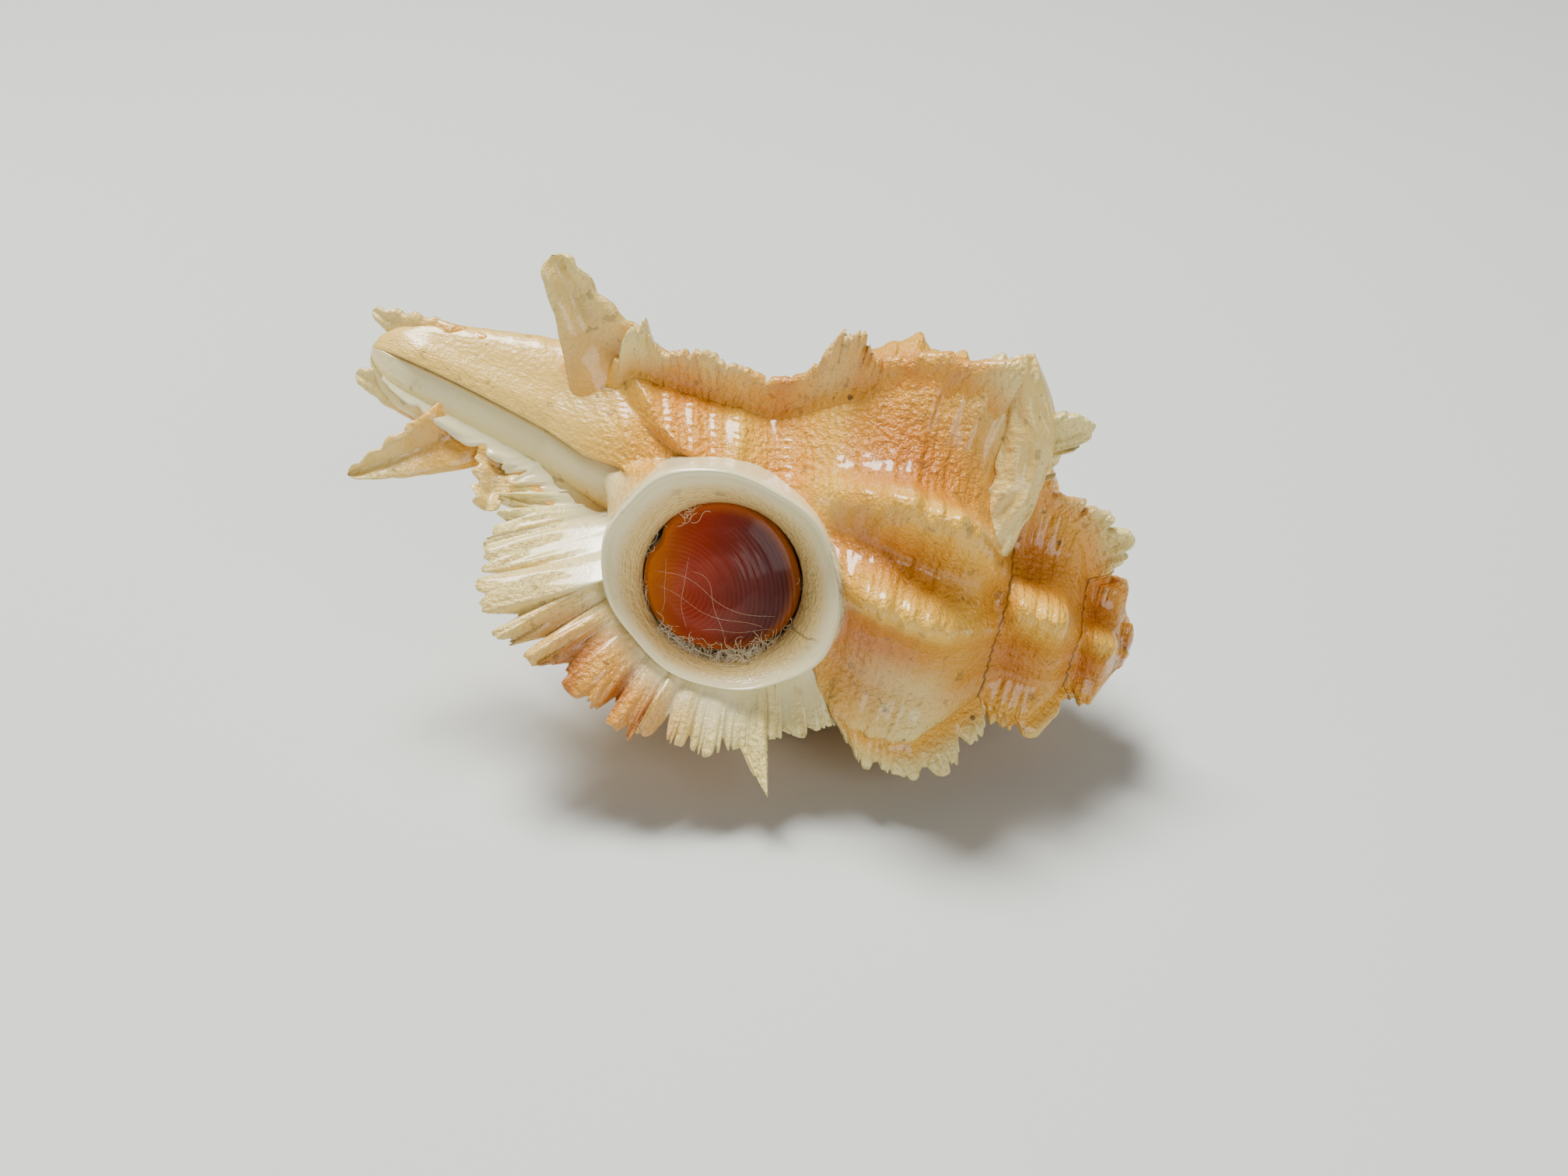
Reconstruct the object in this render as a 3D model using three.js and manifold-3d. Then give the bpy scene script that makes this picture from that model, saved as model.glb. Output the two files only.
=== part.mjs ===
// Murex shell, lying on its dorsal side with the aperture turned to the front, with its operculum and the
// cotton wool that packs the operculum in place.  Millimetres, +Z up, resting on Z = 0.
//
// The shell is worked out in its own frame first: Z runs along the columella from the tip of the siphonal canal
// to the apex, and angles go round that axis from the ventral side towards the outer lip.  The shell grew towards
// smaller angles, so a larger angle is an older part of a whorl.
import * as THREE from 'three';
import { ParametricGeometry } from 'three/addons/geometries/ParametricGeometry.js';
import { mergeVertices } from 'three/addons/utils/BufferGeometryUtils.js';
import Module from 'manifold-3d';

const wasm = await Module();
wasm.setup();

// ---- driving dimensions, millimetres and degrees ----
const LENGTH = 32;              // canal tip to apex
const BODY_RADIUS = 7.9;        // periphery of the last whorl just behind the outer lip
const LIP_ANGLE = 60;           // the outer lip's varix; the other two stand a third of a turn and two thirds back
const VARIX_SWELLING = 0.13;    // how much wider a whorl is at a varix
const TURN_GROWTH = 1.75;       // the distance from the suture to the virtual apex grows by this in one turn
const VIRTUAL_APEX = 33.9;      // where the suture's helix would end
const LIP_SUTURE = 12.2;        // from there to the suture just behind the lip
const APEX_DOME = 1.1;          // height of the blunt rounded apex
const CANAL_START = 0.5;        // where the canal's body starts; its prongs reach a little further
const CANAL_END = 2.0;          // length over which the canal's end rounds off
const NODE_HEIGHT = 0.31;       // height of the ridges on the shoulder, as a share of the whorl's radius
const FRILL_EDGE = 0.2;         // half the thickness of a frill at its edge

const TILT = 19;                // the canal's end is raised by this
const ROLL = 29.5;              // turns the ventral side up from the horizontal
const CONTACT_DEPTH = 0.2;      // how much is worn flat where the shell stands

const APERTURE = { z: 16.3, across: 2.1, lean: 10, halfLength: 4.6, halfWidth: 3.95, distance: 5.2, facing: 11 };
const RECESS = { halfLength: 3.35, halfWidth: 3.2, depth: 3.6, taper: 0.93 };
const OPERCULUM = { halfLength: 2.95, halfWidth: 2.88, thickness: 0.7, dome: 0.35, below: 1.5 };
const COTTON = { halfLength: 2.75, halfWidth: 2.5, thickness: 0.75, gap: 0.3 };
const RECESS_SHIFT = { along: 0.1, across: 0.45 };    // the recess and what fills it lie off the rim's own middle

const ROWS = 58;                // along the axis
const FRILL_COLUMNS = 3;        // on each face of a varix frill

const degrees = THREE.MathUtils.degToRad;
const clamp = THREE.MathUtils.clamp;

// ---- curves through a few stations ----

/** Value at x of the broken line through [x, value] stations. */
function straight(stations, x) {
  const last = stations.length - 1;
  if (x <= stations[0][0]) return stations[0][1];
  for (let i = 0; i < last; i += 1) {
    const [x0, y0] = stations[i];
    const [x1, y1] = stations[i + 1];
    if (x <= x1) return y0 + (y1 - y0) * (x - x0) / (x1 - x0);
  }
  return stations[last][1];
}

/** The largest of several radii, with the creases between them rounded. */
function softMax(values) {
  const power = 10;
  return values.reduce((sum, value) => sum + Math.max(value, 0) ** power, 0) ** (1 / power);
}

// ---- whorls: every size is a function of how many turns before the lip the place grew ----

const sutureHeight = (turns) => VIRTUAL_APEX - LIP_SUTURE * TURN_GROWTH ** -turns;
const shoulderDrop = (turns) => 4.95 / (1 + (turns / 1.75) ** 2.6);
const shoulderRadius = (turns) => BODY_RADIUS / (1 + (turns / 1.9) ** 2.2);

/** Radius of the siphonal canal and the columella, a flattened oval whose broad sides face front and back. */
function canalRadius(angle, z) {
  const onLipSide = Math.sin(degrees(angle)) >= 0;
  const broad = straight(onLipSide
    ? [[0, 1.2], [1.5, 1.7], [4.8, 2.15], [8, 2.3], [11, 2.75], [15, 3.6], [18, 3.2], [24, 1]]
    : [[0, 1.1], [1.5, 1.5], [3.4, 2.05], [6.4, 2.85], [8.5, 3.2], [15, 3.6], [18, 3.2], [24, 1]], z);
  const deep = straight([[0, 0.5], [1.5, 0.75], [4.8, 1.0], [8, 1.35], [11, 2.4], [13, 3.1], [15, 3.6], [18, 3.2],
    [24, 1]], z);
  return broad * deep / Math.hypot(deep * Math.sin(degrees(angle)), broad * Math.cos(degrees(angle)));
}

/** Height of the step where the last whorl laps over the canal. */
function ledgeHeight(angle, z) {
  const turned = ((angle + 180) % 360) - 180;
  const past = z - straight([[-120, 7.4], [-88, 8.2], [-55, 9.9], [-21, 11.75], [-8, 13.4]], turned);
  const inWindow = clamp((turned + 125) / 25, 0, 1) * clamp((-4 - turned) / 8, 0, 1);
  return 0.75 * clamp((past + 0.12) / 0.37, 0, 1) * Math.exp(-Math.max(past, 0) / 3.5) * inWindow;
}

/** How full a varix makes the whorl here: it swells slowly from the older side and falls away in front. */
function varixShare(turns) {
  const third = turns * 3;
  const behind = (third - Math.round(third)) * 120;
  const width = behind > 0 ? 15 : 9;
  return Math.exp(-((behind / width) ** 2));
}

/** Outer radius at height z of the whorl that grew this many turns before the lip. */
function whorlRadius(turns, z) {
  const sutureShare = 0.54;
  const top = sutureHeight(turns);
  const drop = shoulderDrop(turns);
  const widest = shoulderRadius(turns) * (1 + VARIX_SWELLING * varixShare(turns));
  const middle = top - drop;
  if (z > top) return widest * sutureShare * (1 - ((z - top) / (0.3 * drop)) ** 2);
  if (z > middle) return widest * (1 - (1 - sutureShare) * ((z - middle) / drop) ** 2.4);
  const below = (middle - z) / (1.3 * drop);
  return widest * (0.1 + 0.9 * Math.exp(-Math.pow(below, 1.7)));
}

/** 1 on the crest of each axial ridge and 0 in the hollows: two between varices, or one on the spire. */
function ridgeShare(turns) {
  const share = (turns * 3) % 1;
  const bell = (middle, width) => Math.exp(-(((share - middle) / width) ** 2));
  const between = turns < 1.02 ? bell(0.385, 0.068) + bell(0.61, 0.068) : bell(0.5, 0.11);
  return clamp(between + 0.45 * (bell(0, 0.1) + bell(1, 0.06)), 0, 1);
}

/** Height of the ridges on the shoulder, below 0 in the hollows between them. */
function nodeHeight(turns, z) {
  const onShoulder = (z - sutureHeight(turns) + 0.9 * shoulderDrop(turns)) / (0.72 * shoulderDrop(turns));
  return NODE_HEIGHT * shoulderRadius(turns) * (ridgeShare(turns) - 0.32) * Math.exp(-onShoulder * onShoulder);
}

/** Radius of the raised rim round the aperture, a plane that faces the ventral side, with a skirt outside it. */
function rimRadius(angle, z) {
  const turned = degrees(angle - APERTURE.facing);
  if (Math.abs(turned) > 1.2) return 0;
  const across = APERTURE.distance * Math.tan(turned) - APERTURE.across;
  const along = z - APERTURE.z;
  const lean = degrees(APERTURE.lean);
  const u = (along * Math.cos(lean) + across * Math.sin(lean)) / APERTURE.halfLength;
  const v = (across * Math.cos(lean) - along * Math.sin(lean)) / APERTURE.halfWidth;
  const beyond = Math.max(Math.hypot(u, v) - 0.97, 0);
  return (APERTURE.distance - 13 * beyond) / Math.cos(turned);
}

/** Radius of the whole shell without its frills. */
function bodyRadius(angle, z) {
  const turns = ((angle - LIP_ANGLE) / 360 + 2) % 1;
  const radii = [0, 1, 2, 3].map((whorl) => {
    const age = turns + whorl;
    return whorlRadius(age, z) + nodeHeight(age, z);
  });
  radii.push(canalRadius(angle, z) + ledgeHeight(angle, z), rimRadius(((angle + 180) % 360) - 180, z));
  const toApex = clamp((z - LENGTH + APEX_DOME) / APEX_DOME, 0, 1);
  const toCanal = clamp(1 - (z - CANAL_START) / CANAL_END, 0, 1);
  return softMax(radii) * Math.sqrt(1 - toApex * toApex) * Math.sqrt(1 - toCanal * toCanal);
}

// ---- varices: each carries a frill whose folds fan out from the whorl's mouth ----
// arc: columns on the whorl from this varix to the next
// folds: [height of its foot on the axis, length, lean towards the apex]

const VARICES = [
  {
    angle: LIP_ANGLE, front: 0.5, back: 6, arc: 13,
    folds: [[CANAL_START, 0, 0], [1.4, 0.1, 0], [4.0, 0.5, -20], [7.6, 0.9, -50], [9.0, 1.6, -70],
      [10.2, 3.0, -76], [11.0, 3.6, -72], [12.3, 4.7, -55], [12.9, 4.8, -47], [14.5, 3.4, -27],
      [16.1, 2.6, -4], [17.6, 2.2, 15], [18.1, 2.2, 26], [18.55, 4.0, 32], [19.1, 2.1, 40],
      [20.5, 1.8, 56], [21.9, 1.0, 50], [23.3, 1.1, 12], [24.5, 1.1, 25], [25.6, 1.7, 42], [26.6, 1.2, 45],
      [27.7, 0.6, 30], [29, 0.7, 45], [30.3, 0.5, 45], [31.4, 0, 0]],
  },
  {
    angle: LIP_ANGLE + 120, front: 5, back: 9, arc: 12,
    folds: [[CANAL_START, 0, -45], [9.0, 0.1, -45], [10.2, 2.2, -40], [12.2, 2.0, -26], [14.2, 1.9, -13],
      [16.2, 1.7, -4], [18.2, 1.9, 5], [20, 1.8, 14], [21.6, 2.4, 27], [22.8, 3.1, 45], [24.2, 0.8, 12],
      [25.3, 0.9, 20], [26.4, 1.3, 35], [27.2, 1.8, 46], [28.4, 0.5, 30], [29.6, 0.5, 45], [31.4, 0, 0]],
  },
  {
    angle: LIP_ANGLE + 240, front: 5, back: 9, arc: 18,
    folds: [[CANAL_START, 0, -30], [9.4, 0.1, -30], [10.9, 2.2, -22], [11.5, 1.2, -24], [13.2, 1.8, -20],
      [14.8, 1.4, -14], [16.4, 1.6, -10], [17.6, 2.0, -6], [19, 1.1, 0], [20.6, 1.2, 4], [22.2, 1.4, 14],
      [23.6, 2.2, 30], [24.6, 3.2, 45], [25.6, 1.1, 30], [26.8, 0.7, 20], [27.8, 1.1, 35], [28.5, 1.9, 47],
      [29.4, 0.6, 45], [31.4, 0, 0]],
  },
];

/** Angle at which the aperture's rim meets height z on its outer side; elsewhere the varix's own angle. */
function lipAngle(z) {
  const lean = degrees(APERTURE.lean);
  const share = (z - APERTURE.z) / (APERTURE.halfLength * Math.cos(lean));
  const reach = Math.sqrt(clamp(1 - share * share, 0.05, 1));
  const across = APERTURE.across + APERTURE.halfLength * Math.sin(lean) * clamp(share, -1, 1)
    + 1.03 * APERTURE.halfWidth * reach;
  const angle = APERTURE.facing + Math.atan2(across, APERTURE.distance) / degrees(1);
  const onRim = 1 - THREE.MathUtils.smoothstep(Math.abs(share), 0.72, 1.12);
  return LIP_ANGLE + (Math.min(angle, LIP_ANGLE) - LIP_ANGLE) * onRim;
}

const frontAngle = (varix, z) => (varix === VARICES[0] ? lipAngle(z) : varix.angle) - varix.front;
const backAngle = (varix) => varix.angle + varix.back;

/** A point of the shell's own frame. */
function polar(radius, angle, z) {
  return new THREE.Vector3(radius * Math.cos(degrees(angle)), radius * Math.sin(degrees(angle)), z);
}

const onBody = (angle, z) => polar(bodyRadius(angle, z), angle, z);

/** Point on a frill's face, at this share of the way from its foot to its edge. */
function onFrill(varix, z, share, isFront) {
  const foot = onBody(isFront ? frontAngle(varix, z) : backAngle(varix), z);
  const middle = onBody(frontAngle(varix, z), z).lerp(onBody(backAngle(varix), z), 0.5);
  const height = straight(varix.folds.map((fold) => [fold[0], fold[1]]), z);
  const fan = degrees(straight(varix.folds.map((fold) => [fold[0], fold[2]]), z));
  const edge = middle.clone().add(polar(height * Math.cos(fan), varix.angle, height * Math.sin(fan)));
  const edgeThickness = FRILL_EDGE * clamp((z - CANAL_START) / 3, 0, 1) * clamp((LENGTH - z) / 3, 0, 1);
  const sideways = polar(edgeThickness * (isFront ? -1 : 1), varix.angle + 90, 0);
  return foot.lerp(edge.add(sideways), share);
}

const columnsOf = (varix) => varix.arc + 2 * FRILL_COLUMNS + 1;
const COLUMNS = VARICES.reduce((sum, varix) => sum + columnsOf(varix), 0);

/** Point of the whole outer surface: column runs once round the shell, row from the canal's end to the apex. */
function surfacePoint(column, row, target) {
  const z = CANAL_START + (LENGTH - CANAL_START) * (row + 0.04 * Math.sin(2 * Math.PI * row));
  let step = Math.round(column * COLUMNS) % COLUMNS;
  let index = 0;
  while (step >= columnsOf(VARICES[index])) {
    step -= columnsOf(VARICES[index]);
    index += 1;
  }
  const varix = VARICES[index];
  if (step <= FRILL_COLUMNS) return target.copy(onFrill(varix, z, step / FRILL_COLUMNS, true));
  const fallen = step - FRILL_COLUMNS - 1;
  if (fallen <= FRILL_COLUMNS) return target.copy(onFrill(varix, z, 1 - fallen / FRILL_COLUMNS, false));
  const next = VARICES[(index + 1) % VARICES.length];
  const start = backAngle(varix);
  const end = frontAngle(next, z) + (index === VARICES.length - 1 ? 360 : 0);
  return target.copy(onBody(start + (end - start) * (fallen - FRILL_COLUMNS) / varix.arc, z));
}

// ---- solids ----

/** Geometry with shared vertices merged and flattened triangles dropped. */
function welded(geometry) {
  const bare = geometry.clone();
  bare.deleteAttribute('normal');
  bare.deleteAttribute('uv');
  const merged = mergeVertices(bare, 1e-4);
  const index = merged.getIndex().array;
  const kept = [];
  for (let i = 0; i < index.length; i += 3) {
    const [a, b, c] = [index[i], index[i + 1], index[i + 2]];
    if (a !== b && b !== c && c !== a) kept.push(a, b, c);
  }
  merged.setIndex(kept);
  return merged;
}

/** Solid for cutting and joining; turned right side out first if it is inside out. */
function solid(geometry) {
  const merged = welded(geometry);
  const position = merged.getAttribute('position').array;
  const index = Uint32Array.from(merged.getIndex().array);
  const made = new wasm.Manifold(new wasm.Mesh({ numProp: 3, vertProperties: position, triVerts: index }));
  if (made.volume() > 0) return made;
  for (let i = 0; i < index.length; i += 3) [index[i], index[i + 1]] = [index[i + 1], index[i]];
  return new wasm.Manifold(new wasm.Mesh({ numProp: 3, vertProperties: position, triVerts: index }));
}

/** Back from a solid to a geometry with flat faces. */
function faceted(body) {
  const mesh = body.getMesh();
  const geometry = new THREE.BufferGeometry();
  geometry.setAttribute('position', new THREE.BufferAttribute(Float32Array.from(mesh.vertProperties), 3));
  geometry.setIndex([...mesh.triVerts]);
  geometry.computeVertexNormals();
  return geometry;
}

/** Tapered, flattened prong from one point to another; its width lies along the shell's axis side of it. */
function prong(from, to, width, thickness) {
  const length = from.distanceTo(to);
  const outline = [[0, 0], [0.1, 1], [0.4, 0.95], [0.75, 0.62], [0.95, 0.4], [1, 0]]
    .map(([share, fullness]) => new THREE.Vector2(fullness * width / 2, share * length));
  const geometry = new THREE.LatheGeometry(outline, 10);
  geometry.scale(1, 1, thickness / width);
  const along = to.clone().sub(from).normalize();
  const outward = new THREE.Vector3(-along.y, along.x, 0).normalize();
  const side = outward.clone().cross(along).normalize();
  geometry.applyMatrix4(new THREE.Matrix4().makeBasis(side, along, side.clone().cross(along)));
  geometry.translate(from.x, from.y, from.z);
  return geometry;
}

/** The siphonal canals: the last one's end and the prongs beside it, and earlier ones left on the older varices. */
function canalProngs() {
  return [
    prong(polar(0.8, -90, 4.6), polar(1.3, -94, 0), 2.2, 1.0),
    prong(polar(0.6, 88, 4.6), polar(1.2, 94, 0.3), 2.3, 1.0),
    prong(polar(0.9, 80, 5.6), polar(5.0, 75, 1.7), 2.7, 0.8),
    prong(polar(1.0, 73, 6.9), polar(4.4, 70, 7.0), 2.3, 0.8),
    prong(polar(1.5, -60, 11.8), polar(6.2, -66, 5.9), 3.8, 1.5),
    prong(polar(0.9, 180, 10.6), polar(5.3, 182, 5.6), 3.6, 1.4),
  ];
}

/** Moves a geometry made round its own Y axis so that it stands on the aperture's plane, facing out of it. */
function intoAperture(geometry, depth) {
  const facing = degrees(APERTURE.facing);
  const outward = new THREE.Vector3(Math.cos(facing), Math.sin(facing), 0);
  const across = new THREE.Vector3(-Math.sin(facing), Math.cos(facing), 0);
  const lean = degrees(APERTURE.lean);
  const up = new THREE.Vector3(0, 0, Math.cos(lean)).addScaledVector(across, Math.sin(lean));
  const side = new THREE.Vector3(0, 0, -Math.sin(lean)).addScaledVector(across, Math.cos(lean));
  const centre = outward.clone().multiplyScalar(APERTURE.distance - depth).addScaledVector(across, APERTURE.across)
    .addScaledVector(up, RECESS_SHIFT.along).addScaledVector(side, RECESS_SHIFT.across);
  geometry.applyMatrix4(new THREE.Matrix4().makeBasis(up, outward, side.negate()));
  geometry.translate(centre.x, centre.y, centre.z + APERTURE.z);
  return geometry;
}

/** Oval plug, wider at its mouth, that hollows the aperture out. */
function recessPlug() {
  const { halfLength, halfWidth, depth, taper } = RECESS;
  const profile = [[0, -depth], [taper * 0.8, -depth], [taper, -depth + 0.5], [1, -0.7], [1.1, 0], [1.2, 1], [0, 1]];
  const plug = new THREE.LatheGeometry(profile.map(([r, y]) => new THREE.Vector2(r, y)), 32);
  plug.scale(halfLength, 1, halfWidth);
  return intoAperture(plug, 0);
}

/** Low domed horny plate with a rounded edge. */
function operculumGeometry() {
  const { halfLength, halfWidth, thickness, dome, below } = OPERCULUM;
  const profile = [[0, -thickness], [0.6, -thickness * 0.95], [0.92, -thickness * 0.8], [1, -thickness * 0.5],
    [0.94, -thickness * 0.1], [0.7, dome * 0.45], [0.35, dome * 0.9], [0, dome]];
  const plate = new THREE.LatheGeometry(profile.map(([r, y]) => new THREE.Vector2(r, y)), 28);
  plate.scale(halfLength, 1, halfWidth);
  return intoAperture(plate, below);
}

/** Flat pad of cotton wool behind the operculum. */
function cottonGeometry() {
  const { halfLength, halfWidth, thickness, gap } = COTTON;
  const profile = [[0, 0], [0.5, 0.06], [0.9, 0.22], [1, 0.5], [0.9, 0.8], [0.5, 0.97], [0, 1]]
    .map(([r, y]) => new THREE.Vector2(r, (y - 1) * thickness));
  const pad = new THREE.LatheGeometry(profile, 24);
  pad.scale(halfLength, 1, halfWidth);
  return intoAperture(pad, OPERCULUM.below + OPERCULUM.thickness + gap);
}

// ---- resting pose: the axis slopes down to the apex along +X and the ventral side looks to -Y and up ----

const tilt = degrees(TILT);
const roll = degrees(ROLL);
const alongAxis = new THREE.Vector3(Math.cos(tilt), 0, -Math.sin(tilt));
const towardsFront = new THREE.Vector3(0, -1, 0);
const towardsGround = new THREE.Vector3(-Math.sin(tilt), 0, -Math.cos(tilt));
const ventral = towardsFront.clone().multiplyScalar(Math.cos(roll)).addScaledVector(towardsGround, -Math.sin(roll));
const lipSide = towardsFront.clone().multiplyScalar(Math.sin(roll)).addScaledVector(towardsGround, Math.cos(roll));
const turned = new THREE.Matrix4().makeBasis(ventral, lipSide, alongAxis);

let shell = solid(new ParametricGeometry(surfacePoint, COLUMNS, ROWS));
for (const piece of canalProngs()) shell = shell.add(solid(piece));
shell = shell.subtract(solid(recessPlug()));

// The lowest points decide how high the shell stands; a little is worn flat off them.
const raw = faceted(shell).applyMatrix4(turned);
raw.computeBoundingBox();
const middleX = (raw.boundingBox.min.x + raw.boundingBox.max.x) / 2;
const middleY = (raw.boundingBox.min.y + raw.boundingBox.max.y) / 2;
const floorZ = raw.boundingBox.min.z + CONTACT_DEPTH;
const placed = new THREE.Matrix4().makeTranslation(-middleX, -middleY, -floorZ).multiply(turned);
const ground = new THREE.BoxGeometry(100, 100, 10).translate(0, 0, -5).applyMatrix4(placed.clone().invert());
shell = shell.subtract(solid(ground));

const group = new THREE.Group();
group.applyMatrix4(placed);

/** Adds one named piece to the part. */
function addPiece(name, geometry, color, roughness) {
  const mesh = new THREE.Mesh(geometry, new THREE.MeshStandardMaterial({ color, roughness, metalness: 0 }));
  mesh.name = name;
  group.add(mesh);
}

addPiece('shell', faceted(shell), 0xcda064, 0.6);
addPiece('operculum', faceted(solid(operculumGeometry())), 0x6a1c0a, 0.3);
addPiece('cotton_wad', faceted(solid(cottonGeometry())), 0xe6e4dc, 0.95);

export default group;
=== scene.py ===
"""Murex shell lying on its back, with the operculum in its aperture and cotton wool packed round the plate.

The shell is grown in a frame of its own, in millimetres: Z runs along the columella from the siphonal canal's
tip to the apex, and angles go round that axis from the ventral side towards the outer lip.  It is then laid in
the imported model's frame, in metres.
"""

import logging
import math
from dataclasses import dataclass, field
from enum import Enum
from typing import Any, Callable, Mapping, Sequence

import bmesh
import bpy
import numpy as np
from mathutils import Matrix, Vector


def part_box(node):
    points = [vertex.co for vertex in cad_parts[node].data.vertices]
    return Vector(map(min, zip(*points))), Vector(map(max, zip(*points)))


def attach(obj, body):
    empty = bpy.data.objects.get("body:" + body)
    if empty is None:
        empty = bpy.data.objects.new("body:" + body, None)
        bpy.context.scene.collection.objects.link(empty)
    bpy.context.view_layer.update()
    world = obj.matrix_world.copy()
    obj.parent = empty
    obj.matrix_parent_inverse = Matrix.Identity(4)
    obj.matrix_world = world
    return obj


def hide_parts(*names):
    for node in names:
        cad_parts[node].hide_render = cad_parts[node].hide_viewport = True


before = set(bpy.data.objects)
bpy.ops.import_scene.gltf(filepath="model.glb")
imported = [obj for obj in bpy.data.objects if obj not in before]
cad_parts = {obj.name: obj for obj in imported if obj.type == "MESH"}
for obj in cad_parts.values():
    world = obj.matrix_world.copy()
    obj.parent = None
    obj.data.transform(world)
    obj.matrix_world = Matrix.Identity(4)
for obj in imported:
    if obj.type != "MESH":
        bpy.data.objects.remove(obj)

LOG = logging.getLogger("murex")
MM = 0.001
TURN = 2 * math.pi

Array = np.ndarray
Values = dict[str, Array]
Placer = Callable[[Array, Array], tuple[Array, Values]]
Station = tuple[float, float]
Point = tuple[float, float, float]
Colour = tuple[float, float, float, float]


# ---- small helpers -------------------------------------------------------------------------------------------


def straight(stations: Sequence[Station], x: Array | float) -> Array:
    """Values at x of the broken line through (x, value) stations."""
    return np.interp(x, [s[0] for s in stations], [s[1] for s in stations])


def smooth(low: float, high: float, x: Array | float) -> Array:
    """A smooth step from 0 at low to 1 at high."""
    share = np.clip((np.asarray(x, float) - low) / (high - low), 0.0, 1.0)
    return share * share * (3.0 - 2.0 * share)


def fall(high: float, low: float, x: Array | float) -> Array:
    """A smooth step from 1 at the first place to 0 at the second."""
    return 1.0 - smooth(high, low, x)


def plateau(rise: Station, drop: Station, x: Array | float) -> Array:
    """0, then 1 from the end of the rise to the start of the drop, then 0 again."""
    return smooth(*rise, x) * fall(*drop, x)


def bell(x: Array | float) -> Array:
    """A bell curve, 1 at x = 0 and falling within about 1 either side."""
    return np.exp(-np.square(x))


def share_of(x: Array) -> Array:
    """The values held between 0 and 1."""
    return np.clip(x, 0, 1)


def signed(angle: Array | float) -> Array:
    """The same angle in degrees, from -180 to 180."""
    return (angle + 180) % 360 - 180


def polar(radius: Array | float, angle: Array | float, z: Array | float) -> Array:
    """Points from a radius, an angle in degrees and a height on the axis.

    Args:
        radius: distance from the axis.
        angle: angle round the shell's axis, in degrees.
        z: height on the axis.

    Returns:
        The points, one a row.
    """
    turned = np.radians(angle)
    parts = np.broadcast_arrays(radius * np.cos(turned), radius * np.sin(turned), z)
    return np.stack(parts, axis=-1).astype(float)


def unit(vectors: Array) -> Array:
    """Each row's direction, as a vector of length 1."""
    return vectors / np.maximum(np.linalg.norm(vectors, axis=-1), 1e-9)[:, None]


def flat_grid(columns: int, rows: int) -> bmesh.types.BMesh:
    """A flat grid of faces, to be bent.

    Args:
        columns: faces across it.
        rows: faces up it.

    Returns:
        The grid.
    """
    bm = bmesh.new()
    bmesh.ops.create_grid(bm, x_segments=columns, y_segments=rows, size=1.0)
    return bm


def fill_holes(bm: bmesh.types.BMesh) -> None:
    """Closes open edges with faces and cuts faces of more than four corners into triangles.

    Args:
        bm: the mesh.
    """
    loose = [e for e in bm.edges if e.is_boundary]
    if loose:
        bmesh.ops.holes_fill(bm, edges=loose, sides=0)
    bmesh.ops.triangulate(bm, faces=[f for f in bm.faces if len(f.verts) > 4])


def bend(bm: bmesh.types.BMesh, name: str, columns: int, rows: int, place: Placer, weld: float = 1e-4
         ) -> bpy.types.Mesh:
    """Bends a grid into a closed skin and welds the edges that meet.

    Args:
        bm: the grid, which is used up.
        name: the mesh's name.
        columns: faces across the grid.
        rows: faces up the grid.
        place: gives the points and the named values for whole-number columns and rows.
        weld: points closer than this become one.

    Returns:
        The mesh, with one float attribute for each named value.
    """
    mesh = bpy.data.meshes.new(name)
    bm.to_mesh(mesh)
    flat = np.empty(len(mesh.vertices) * 3, np.float32)
    mesh.vertices.foreach_get("co", flat)
    corners = flat.reshape(-1, 3)
    u = np.rint((corners[:, 0] + 1) / 2 * columns).astype(int)
    v = np.rint((corners[:, 1] + 1) / 2 * rows).astype(int)
    points, values = place(u, v)
    mesh.vertices.foreach_set("co", points.astype(np.float32).ravel())
    for key, value in values.items():
        mesh.attributes.new(key, "FLOAT", "POINT").data.foreach_set("value", value.astype(np.float32))
    bm.clear()
    bm.from_mesh(mesh)
    bmesh.ops.remove_doubles(bm, verts=bm.verts, dist=weld)
    fill_holes(bm)
    bmesh.ops.recalc_face_normals(bm, faces=bm.faces)
    if bm.calc_volume(signed=True) < 0:
        bmesh.ops.reverse_faces(bm, faces=bm.faces)
    bm.to_mesh(mesh)
    bm.free()
    return mesh


def skin(name: str, columns: int, rows: int, place: Placer) -> bpy.types.Mesh:
    """Makes a closed skin from a whole grid.

    Args:
        name: the mesh's name.
        columns: faces across the grid.
        rows: faces up the grid.
        place: gives the points and the named values for whole-number columns and rows.

    Returns:
        The mesh.
    """
    return bend(flat_grid(columns, rows), name, columns, rows, place)


def put_in_scene(name: str, data: bpy.types.ID) -> bpy.types.Object:
    """Makes an object of a mesh, light or camera and links it to the scene.

    Args:
        name: the object's name.
        data: what it shows.

    Returns:
        The object.
    """
    made = bpy.data.objects.new(name, data)
    bpy.context.scene.collection.objects.link(made)
    return made


def cut_out(mesh: bpy.types.Mesh, plug: bpy.types.Mesh) -> bpy.types.Mesh:
    """Cuts one closed mesh out of another.

    Args:
        mesh: the mesh that is kept.
        plug: the mesh that is cut out of it.

    Returns:
        A new mesh.
    """
    base, tool = put_in_scene("base", mesh), put_in_scene("tool", plug)
    modifier = base.modifiers.new("cut", "BOOLEAN")
    modifier.operation = "DIFFERENCE"
    modifier.solver = "MANIFOLD"
    modifier.object = tool
    bpy.context.view_layer.update()
    result = bpy.data.meshes.new_from_object(base.evaluated_get(bpy.context.evaluated_depsgraph_get()))
    for made in (base, tool):
        bpy.data.objects.remove(made)
    return result


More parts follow.
